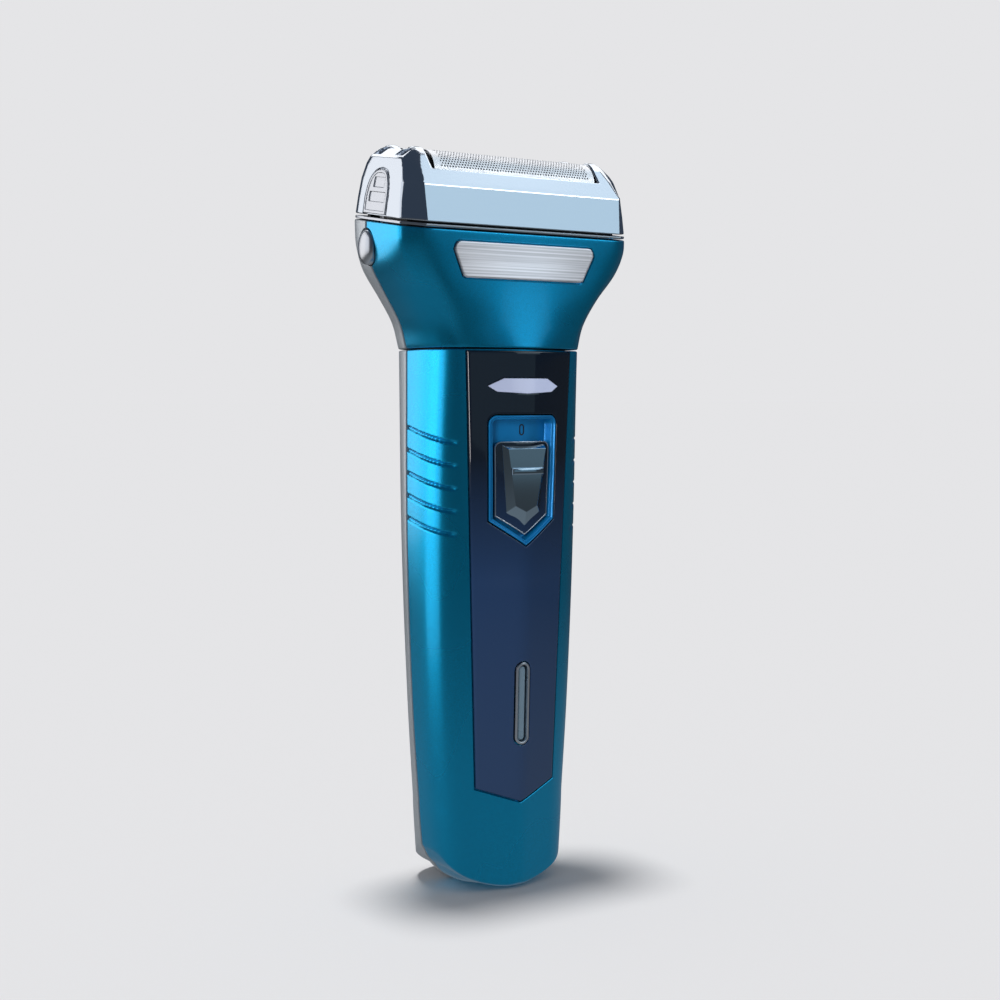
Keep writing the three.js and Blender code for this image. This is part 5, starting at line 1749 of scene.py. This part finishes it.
# %% Brushed grain
STREAK = (0.03, 1, 6)
grain_group, grain_in, grain_out = new_group(
    "brushed grain", [("Scale", 400)], [("Brightness", "Float"), ("Height", "Float")])
squeeze = grain_group.nodes.new("ShaderNodeMapping")
squeeze.inputs["Scale"].default_value = STREAK
grain_group.links.new(object_coordinates(grain_group), squeeze.inputs["Vector"])
streaks = noise(grain_group, squeeze.outputs[0], grain_in.outputs["Scale"], 4)
brightness = stretch_range(grain_group, streaks, 0.35, 0.65, 0.62, 1.0)
grain_group.links.new(brightness, grain_out.inputs["Brightness"])
grain_group.links.new(streaks, grain_out.inputs["Height"])
print("group:", grain_group.name)

# %% [markdown]
# ## Materials
#
# Each record slot gets one material. A small builder sets the shader's own constants and joins
# the effects above to it where that surface has them. One builder keeps twenty materials alike
# in their parts and different in their values.

# %% Material builder


def use_group(tree, group, **values):
    """Put a node group in a material and set its inputs."""
    node = tree.nodes.new("ShaderNodeGroup")
    node.node_tree = group
    for label, value in values.items():
        node.inputs[label].default_value = value
    return node


def material(slot, colour, metallic=0.0, gloss=(0.3, 0.4), gloss_scale=60, coat=0.0, coat_gloss=0.05,
             texture=None, strength=0.05, distance=0.02):
    """A material with uneven gloss, and a bump from mould texture, flake or grain."""
    result = bpy.data.materials.new(slot)
    result.use_nodes = True
    tree = result.node_tree
    shader = tree.nodes["Principled BSDF"]
    shader.inputs["Base Color"].default_value = (*colour, 1)
    shader.inputs["Metallic"].default_value = metallic
    shader.inputs["Coat Weight"].default_value = coat
    shader.inputs["Coat Roughness"].default_value = coat_gloss
    uneven = use_group(tree, gloss_group, Lowest=gloss[0], Highest=gloss[1], Scale=gloss_scale)
    tree.links.new(uneven.outputs["Roughness"], shader.inputs["Roughness"])
    if texture:
        bump = tree.nodes.new("ShaderNodeBump")
        bump.inputs["Strength"].default_value = strength
        bump.inputs["Distance"].default_value = distance * MM
        tree.links.new(texture(tree).outputs["Height"], bump.inputs["Height"])
        tree.links.new(bump.outputs["Normal"], shader.inputs["Normal"])
    finishes[slot] = result
    return tree, shader


def tint(tree, shader, colour, brightness):
    """Multiply a colour by a brightness and use it as the base colour."""
    mix = tree.nodes.new("ShaderNodeMix")
    mix.data_type = "RGBA"
    mix.inputs["A"].default_value = (0, 0, 0, 1)
    mix.inputs["B"].default_value = (*colour, 1)
    tree.links.new(brightness, mix.inputs["Factor"])
    tree.links.new(mix.outputs["Result"], shader.inputs["Base Color"])


def moulded(scale):
    """Mould texture at a scale, for the material builder."""
    return lambda tree: use_group(tree, mould_group, Scale=scale)


print("slots to fill", len(set(slot_of_node.values())))

# %% [markdown]
# ### Lacquered shells
#
# The front is turquoise metallic lacquer and the rear is silver-grey. A metallic base with flakes
# in it and a thin clear coat on top gives a coloured highlight that falls off quickly, as real
# metallic paint does. Plain blue plastic would have white highlights.

# %% Lacquered shells
TURQUOISE = (0.006, 0.42, 0.74)
tree, shader = material("blue_paint", TURQUOISE, 0.9, (0.24, 0.3), 40, coat=0.2, coat_gloss=0.08)
flakes = use_group(tree, flake_group, Scale=7000, Spread=0.22)
tint(tree, shader, TURQUOISE, flakes.outputs["Brightness"])
SILVER_GREY = (0.47, 0.5, 0.53)
tree, shader = material("grey_plastic", SILVER_GREY, 0.55, (0.34, 0.42), 40, coat=0.15, coat_gloss=0.2)
flakes = use_group(tree, flake_group, Scale=7000, Spread=0.18)
tint(tree, shader, SILVER_GREY, flakes.outputs["Brightness"])
print("lacquers:", ["blue_paint", "grey_plastic"])

# %% [markdown]
# ### Gloss panel
#
# The panel is black high-gloss moulding, nearly black at the top and navy below. The navy is painted
# reflection of paler surroundings, and the change is in the material, along the object's own height, so it
# stays in place in every view.

# %% Gloss panel
# the navy is painted reflection on the black panel, used towards the bottom
NEARLY_BLACK, NAVY_REFLECTION = (0.003, 0.006, 0.012), (0.011, 0.03, 0.078)
REFLECTION_FADE_LOW, REFLECTION_FADE_HIGH = 0.072, 0.1
tree, shader = material("gloss_black", NEARLY_BLACK, 0.0, (0.03, 0.06), 30, coat=0.3, coat_gloss=0.02)
height = tree.nodes.new("ShaderNodeSeparateXYZ")
tree.links.new(object_coordinates(tree), height.inputs[0])
# painted reflection: the ramp runs from navy below to nearly black above
fade = tree.nodes.new("ShaderNodeValToRGB")
fade.color_ramp.elements[0].color = (*NAVY_REFLECTION, 1)
fade.color_ramp.elements[1].color = (*NEARLY_BLACK, 1)
tree.links.new(stretch_range(tree, height.outputs["Z"], REFLECTION_FADE_LOW, REFLECTION_FADE_HIGH, 0, 1), fade.inputs["Fac"])
tree.links.new(fade.outputs["Color"], shader.inputs["Base Color"])
shader.inputs["IOR"].default_value = 1.5
print("panel fades between", REFLECTION_FADE_LOW, "and", REFLECTION_FADE_HIGH, "m")

# %% [markdown]
# ### Mouldings
#
# The tray, the slider, the cradle and the small plastic pieces are plain mouldings. They differ
# in colour, gloss and how coarse their mould was. The light guide lets a little light through.

# %% Mouldings
material("deep_blue", (0.003, 0.17, 0.42), 0.5, (0.28, 0.36), 80, texture=moulded(4000))
material("slider_gloss", (0.42, 0.54, 0.64), 1.0, (0.06, 0.1), 60)
material("black_plastic", (0.012, 0.013, 0.015), 0.0, (0.42, 0.55), 90, texture=moulded(2500), strength=0.2)
material("rubber", (0.01, 0.01, 0.01), 0.0, (0.6, 0.75), 120, texture=moulded(1800), strength=0.3)
material("white_plastic", (0.72, 0.72, 0.69), 0.0, (0.35, 0.45), 80, texture=moulded(2500), strength=0.1)
_, shader = material("lens", (0.2, 0.3, 0.38), 0.0, (0.22, 0.3), 90, texture=moulded(3000), strength=0.1)
shader.inputs["Transmission Weight"].default_value = 0.15
_, shader = material("inlay", (0.6, 0.66, 0.9), 0.0, (0.16, 0.24), 70, coat=0.4)
shader.inputs["Sheen Weight"].default_value = 0.1
print("finishes so far", len(finishes))

# %% [markdown]
# ### Metals
#
# Plating, foil, springs and screws are metals, so their colour is the colour of their reflection.
# Only their roughness sets mirror-bright chrome apart from satin foil.

# %% Metals
material("chrome", (0.74, 0.78, 0.84), 1.0, (0.1, 0.14), 50)
material("satin_silver", (0.74, 0.75, 0.79), 1.0, (0.24, 0.32), 60)
material("foil_steel", (0.93, 0.93, 0.95), 0.75, (0.34, 0.44), 90, texture=moulded(2500), strength=0.05)
material("steel", (0.6, 0.61, 0.62), 1.0, (0.2, 0.32), 120)
material("dark_steel", (0.42, 0.43, 0.45), 1.0, (0.28, 0.42), 80, texture=moulded(900), strength=0.08)
material("brass", (0.6, 0.41, 0.14), 1.0, (0.22, 0.35), 90)
material("screw_steel", (0.55, 0.56, 0.56), 1.0, (0.25, 0.4), 150, texture=moulded(1500), strength=0.12)
BADGE_METAL = (0.8, 0.79, 0.83)
tree, shader = material("brushed_badge", BADGE_METAL, 0.8, (0.26, 0.36), 60,
                        texture=lambda t: use_group(t, grain_group, Scale=500), strength=0.15)
grain = use_group(tree, grain_group, Scale=500)
tint(tree, shader, BADGE_METAL, grain.outputs["Brightness"])
print("finishes so far", len(finishes))

# %% [markdown]
# ### Board and cell
#
# The circuit board is lacquered glass cloth and the cell wears a shrunk plastic sleeve. Both are
# hidden while the shaver is closed, so they keep their CAD shape and only get a true finish.

# %% Board and cell
BOARD_GREEN = (0.012, 0.11, 0.035)
tree, shader = material("board", BOARD_GREEN, 0.0, (0.25, 0.4), 100, coat=0.2,
                        texture=moulded(1200), strength=0.1)
weave = use_group(tree, flake_group, Scale=1500, Spread=0.3)
tint(tree, shader, BOARD_GREEN, weave.outputs["Brightness"])
SLEEVE_GREEN = (0.03, 0.16, 0.045)
material("cell_wrap", SLEEVE_GREEN, 0.5, (0.15, 0.28), 70, coat=0.3, texture=moulded(400), strength=0.05)
print("all finishes:", sorted(finishes))

# %% [markdown]
# ### Putting the materials on
#
# Finished pieces take the finish they were given. CAD nodes that no piece stands for are shown
# as they are, so they get the material of their slot as well.

# %% Put the materials on
for piece in pieces:
    piece.data.materials.clear()
    piece.data.materials.append(finishes[piece["finish"]])
for node, shape in frame["nodes"].items():
    shape.data.materials.clear()
    shape.data.materials.append(finishes[slot_of_node[node]])
print("pieces", len(pieces), "CAD nodes", len(frame["nodes"]))

# %% [markdown]
# ## Studio light
#
# Chrome and gloss show what stands round them more than their own colour, so the light is built
# like a product studio: a pale backdrop for the camera, a dark room for the reflections, and a
# few large soft boxes. The sky does the first two jobs, and Light Path tells them apart.

# %% World
PALE = 0.783
world = bpy.data.worlds.new("studio")
world.use_nodes = True
scene.world = world
tree = world.node_tree
tree.nodes.clear()
output = tree.nodes.new("ShaderNodeOutputWorld")
path = tree.nodes.new("ShaderNodeLightPath")


def backdrop(colour, strength=1.0):
    """One plain sky."""
    node = tree.nodes.new("ShaderNodeBackground")
    node.inputs["Color"].default_value = (*colour, 1)
    node.inputs["Strength"].default_value = strength
    return node


seen = backdrop((PALE, PALE, PALE * 1.02))
SUN_SHARE = 0.7  # part of the floor's light that comes straight from above
ambient = backdrop((1 - SUN_SHARE, 1 - SUN_SHARE, 1.01 - SUN_SHARE))
room = backdrop((0.035, 0.05, 0.075))
indirect = tree.nodes.new("ShaderNodeMixShader")
tree.links.new(path.outputs["Is Diffuse Ray"], indirect.inputs[0])
tree.links.new(room.outputs[0], indirect.inputs[1])
tree.links.new(ambient.outputs[0], indirect.inputs[2])
final = tree.nodes.new("ShaderNodeMixShader")
tree.links.new(path.outputs["Is Camera Ray"], final.inputs[0])
tree.links.new(indirect.outputs[0], final.inputs[1])
tree.links.new(seen.outputs[0], final.inputs[2])
tree.links.new(final.outputs[0], output.inputs["Surface"])
print("background level", PALE)

# %% [markdown]
# ### The floor
#
# The floor is as pale as the background, so no horizon shows. To the camera it is a plain matt
# sheet. To glossy rays it is darker and fades away from the foot, like a real sheet of paper
# that ends in a dark room; without that, the lower half of the handle would mirror a white floor.

# %% Floor
FLOOR_REACH = 60
FLOOR_DROP = 0.0002  # keeps the foot and the floor from sharing a plane
MIRRORED_NEAR, MIRRORED_FAR = (0.1, 0.26), (0.42, 0.07)  # distance from the foot, brightness
floor_mesh = bpy.data.meshes.new("floor")
corners = [(x * FLOOR_REACH, y * FLOOR_REACH, 0) for x, y in ((-1, -1), (1, -1), (1, 1), (-1, 1))]
floor_mesh.from_pydata(corners, [], [(0, 1, 2, 3)])
floor = bpy.data.objects.new("floor", floor_mesh)
floor.location.z = -FLOOR_DROP
scene.collection.objects.link(floor)
floor_material = bpy.data.materials.new("floor")
floor_material.use_nodes = True
floor_shader = floor_material.node_tree.nodes["Principled BSDF"]
floor_shader.inputs["Base Color"].default_value = (PALE, PALE, PALE * 1.01, 1)
floor_shader.inputs["Roughness"].default_value = 1
floor_shader.inputs["Specular IOR Level"].default_value = 0
floor_tree = floor_material.node_tree
floor_path = floor_tree.nodes.new("ShaderNodeLightPath")
dark_floor = floor_tree.nodes.new("ShaderNodeEmission")
dark_floor.inputs["Color"].default_value = (0.85, 0.93, 1, 1)
distance_from_foot = floor_tree.nodes.new("ShaderNodeVectorMath")
distance_from_foot.operation = "LENGTH"
floor_tree.links.new(object_coordinates(floor_tree), distance_from_foot.inputs[0])
mirrored = stretch_range(floor_tree, distance_from_foot.outputs["Value"], MIRRORED_NEAR[0], MIRRORED_FAR[0],
                         MIRRORED_NEAR[1], MIRRORED_FAR[1])
floor_tree.links.new(mirrored, dark_floor.inputs["Strength"])
floor_mix = floor_tree.nodes.new("ShaderNodeMixShader")
floor_tree.links.new(floor_path.outputs["Is Glossy Ray"], floor_mix.inputs[0])
floor_tree.links.new(floor_shader.outputs[0], floor_mix.inputs[1])
floor_tree.links.new(dark_floor.outputs[0], floor_mix.inputs[2])
floor_tree.links.new(floor_mix.outputs[0], floor_tree.nodes["Material Output"].inputs["Surface"])
floor_mesh.materials.append(floor_material)
print("floor", 2 * FLOOR_REACH, "m wide")

# %% [markdown]
# ### Softboxes
#
# Each softbox is a rectangle placed in a direction from the shaver and given by its brightness,
# not its power, so that moving it doesn't change the look of its reflection. The boxes light only
# the shaver: the floor stays even.

# %% Softbox builder
lit = bpy.data.collections.new("lit by the softboxes")
for shape in list(frame["nodes"].values()) + pieces:
    lit.objects.link(shape)


def softbox(name, direction, distance, width, height, level, colour=(1, 1, 1), aim=(0, 0, 0.09), on=lit):
    """A soft rectangular light in a direction from the shaver, given by its brightness."""
    data = bpy.data.lights.new(name, "AREA")
    data.shape = "RECTANGLE"
    data.size, data.size_y = width, height
    data.energy = level * math.pi * width * height
    data.color = colour
    light = bpy.data.objects.new(name, data)
    toward = Vector(direction).normalized()
    light.location = Vector(aim) + toward * distance
    light.rotation_euler = (-toward).to_track_quat("-Z", "Y").to_euler()
    light.visible_camera = False
    light.light_linking.receiver_collection = on
    scene.collection.objects.link(light)
    return light


# %% [markdown]
# ### Lights for single finishes
#
# In a product studio, black flags shade the lights so that each surface gets its own highlight.
# Light linking does the same: a box for the paint's side wall, one for the badge and the inlay, and a narrow
# strip that draws the bright line on the panel's edge.

# %% Lights for single finishes
lacquered = bpy.data.collections.new("lacquered shells")
edged = bpy.data.collections.new("gloss panel and tray")
for piece in pieces:
    if piece["finish"] in ("blue_paint", "grey_plastic"):
        lacquered.objects.link(piece)
    if piece["finish"] in ("gloss_black", "deep_blue"):
        edged.objects.link(piece)
softbox("shell box", (-0.7, 0.71, 0.1), 0.8, 0.5, 1.2, 0.85, on=lacquered)
softbox("shell side box", (-0.97, 0.2, 0.1), 0.85, 0.34, 1.2, 0.5, (0.8, 0.95, 1.0), on=lacquered)
handle_side = bpy.data.collections.new("front shell of the handle")
handle_side.objects.link(front_shell)
softbox("grip box", (-0.98, -0.12, 0.05), 0.85, 0.34, 1.2, 0.6, (0.8, 0.95, 1.0), on=handle_side)
softbox("low side box", (-0.99, 0.1, 0.0), 0.25, 0.2, 0.2, 1.1, (0.8, 0.95, 1.0), (0, 0, 0.06), handle_side)
plates = bpy.data.collections.new("badge and inlay")
plates.objects.link(badge)
plates.objects.link(inlay)
softbox("plate box", (0.48, -0.87, 0.0), 0.9, 0.6, 0.2, 1.0, on=plates, aim=(0, -0.02, 0.13))
softbox("edge strip", (-0.84, -0.54, 0.0), 0.9, 0.3, 1.2, 12.0, (1.0, 0.93, 0.95), on=edged)

# %% [markdown]
# ### Lights for everything
#
# Boxes behind and beside the shaver brighten its left side, one in front to the right makes the
# pale chrome, and a thin strip above marks the crease between the chrome's two planes.

# %% Lights for everything
softbox("back left box", (-0.62, 0.78, 0.05), 0.75, 0.55, 1.1, 1.0)
softbox("left box", (-0.96, 0.26, 0.05), 0.75, 0.42, 1.1, 0.85, (0.93, 0.96, 1.0))
softbox("front right box", (0.56, -0.8, 0.24), 1.0, 0.7, 0.42, 0.8, (0.66, 0.87, 1.0), (0, 0, 0.12))
softbox("crease strip", (0.54, -0.64, 0.52), 0.9, 0.7, 0.07, 4.0)
softbox("upper front box", (0.54, -0.36, 0.76), 0.8, 0.6, 0.5, 1.0, (0.76, 0.9, 1.0))
softbox("top box", (0.35, 0.5, 0.8), 0.8, 0.9, 0.6, 1.3)
softbox("low front box", (0.3, -0.9, 0.02), 1.1, 1.2, 0.5, 0.16, (0.55, 0.85, 1.0), (0, 0, 0.05))

# %% [markdown]
# ### The overhead light
#
# The shadow at the foot is soft but clear. The floor alone gets a broad sun from almost straight
# above, which replaces part of the sky's light there, so the open floor keeps its brightness.

# %% Overhead light
SHADOW_SPREAD = math.radians(9)
SHADOW_LEAN = math.radians(-4)
overhead = bpy.data.lights.new("overhead", "SUN")
overhead.energy = SUN_SHARE * math.pi
overhead.angle = SHADOW_SPREAD
overhead_light = bpy.data.objects.new("overhead", overhead)
overhead_light.rotation_euler = (SHADOW_LEAN, 0, 0)
shadow_floor = bpy.data.collections.new("floor in the overhead light")
shadow_floor.objects.link(floor)
overhead_light.light_linking.receiver_collection = shadow_floor
scene.collection.objects.link(overhead_light)
print("shadow spread", round(math.degrees(SHADOW_SPREAD)), "degrees")
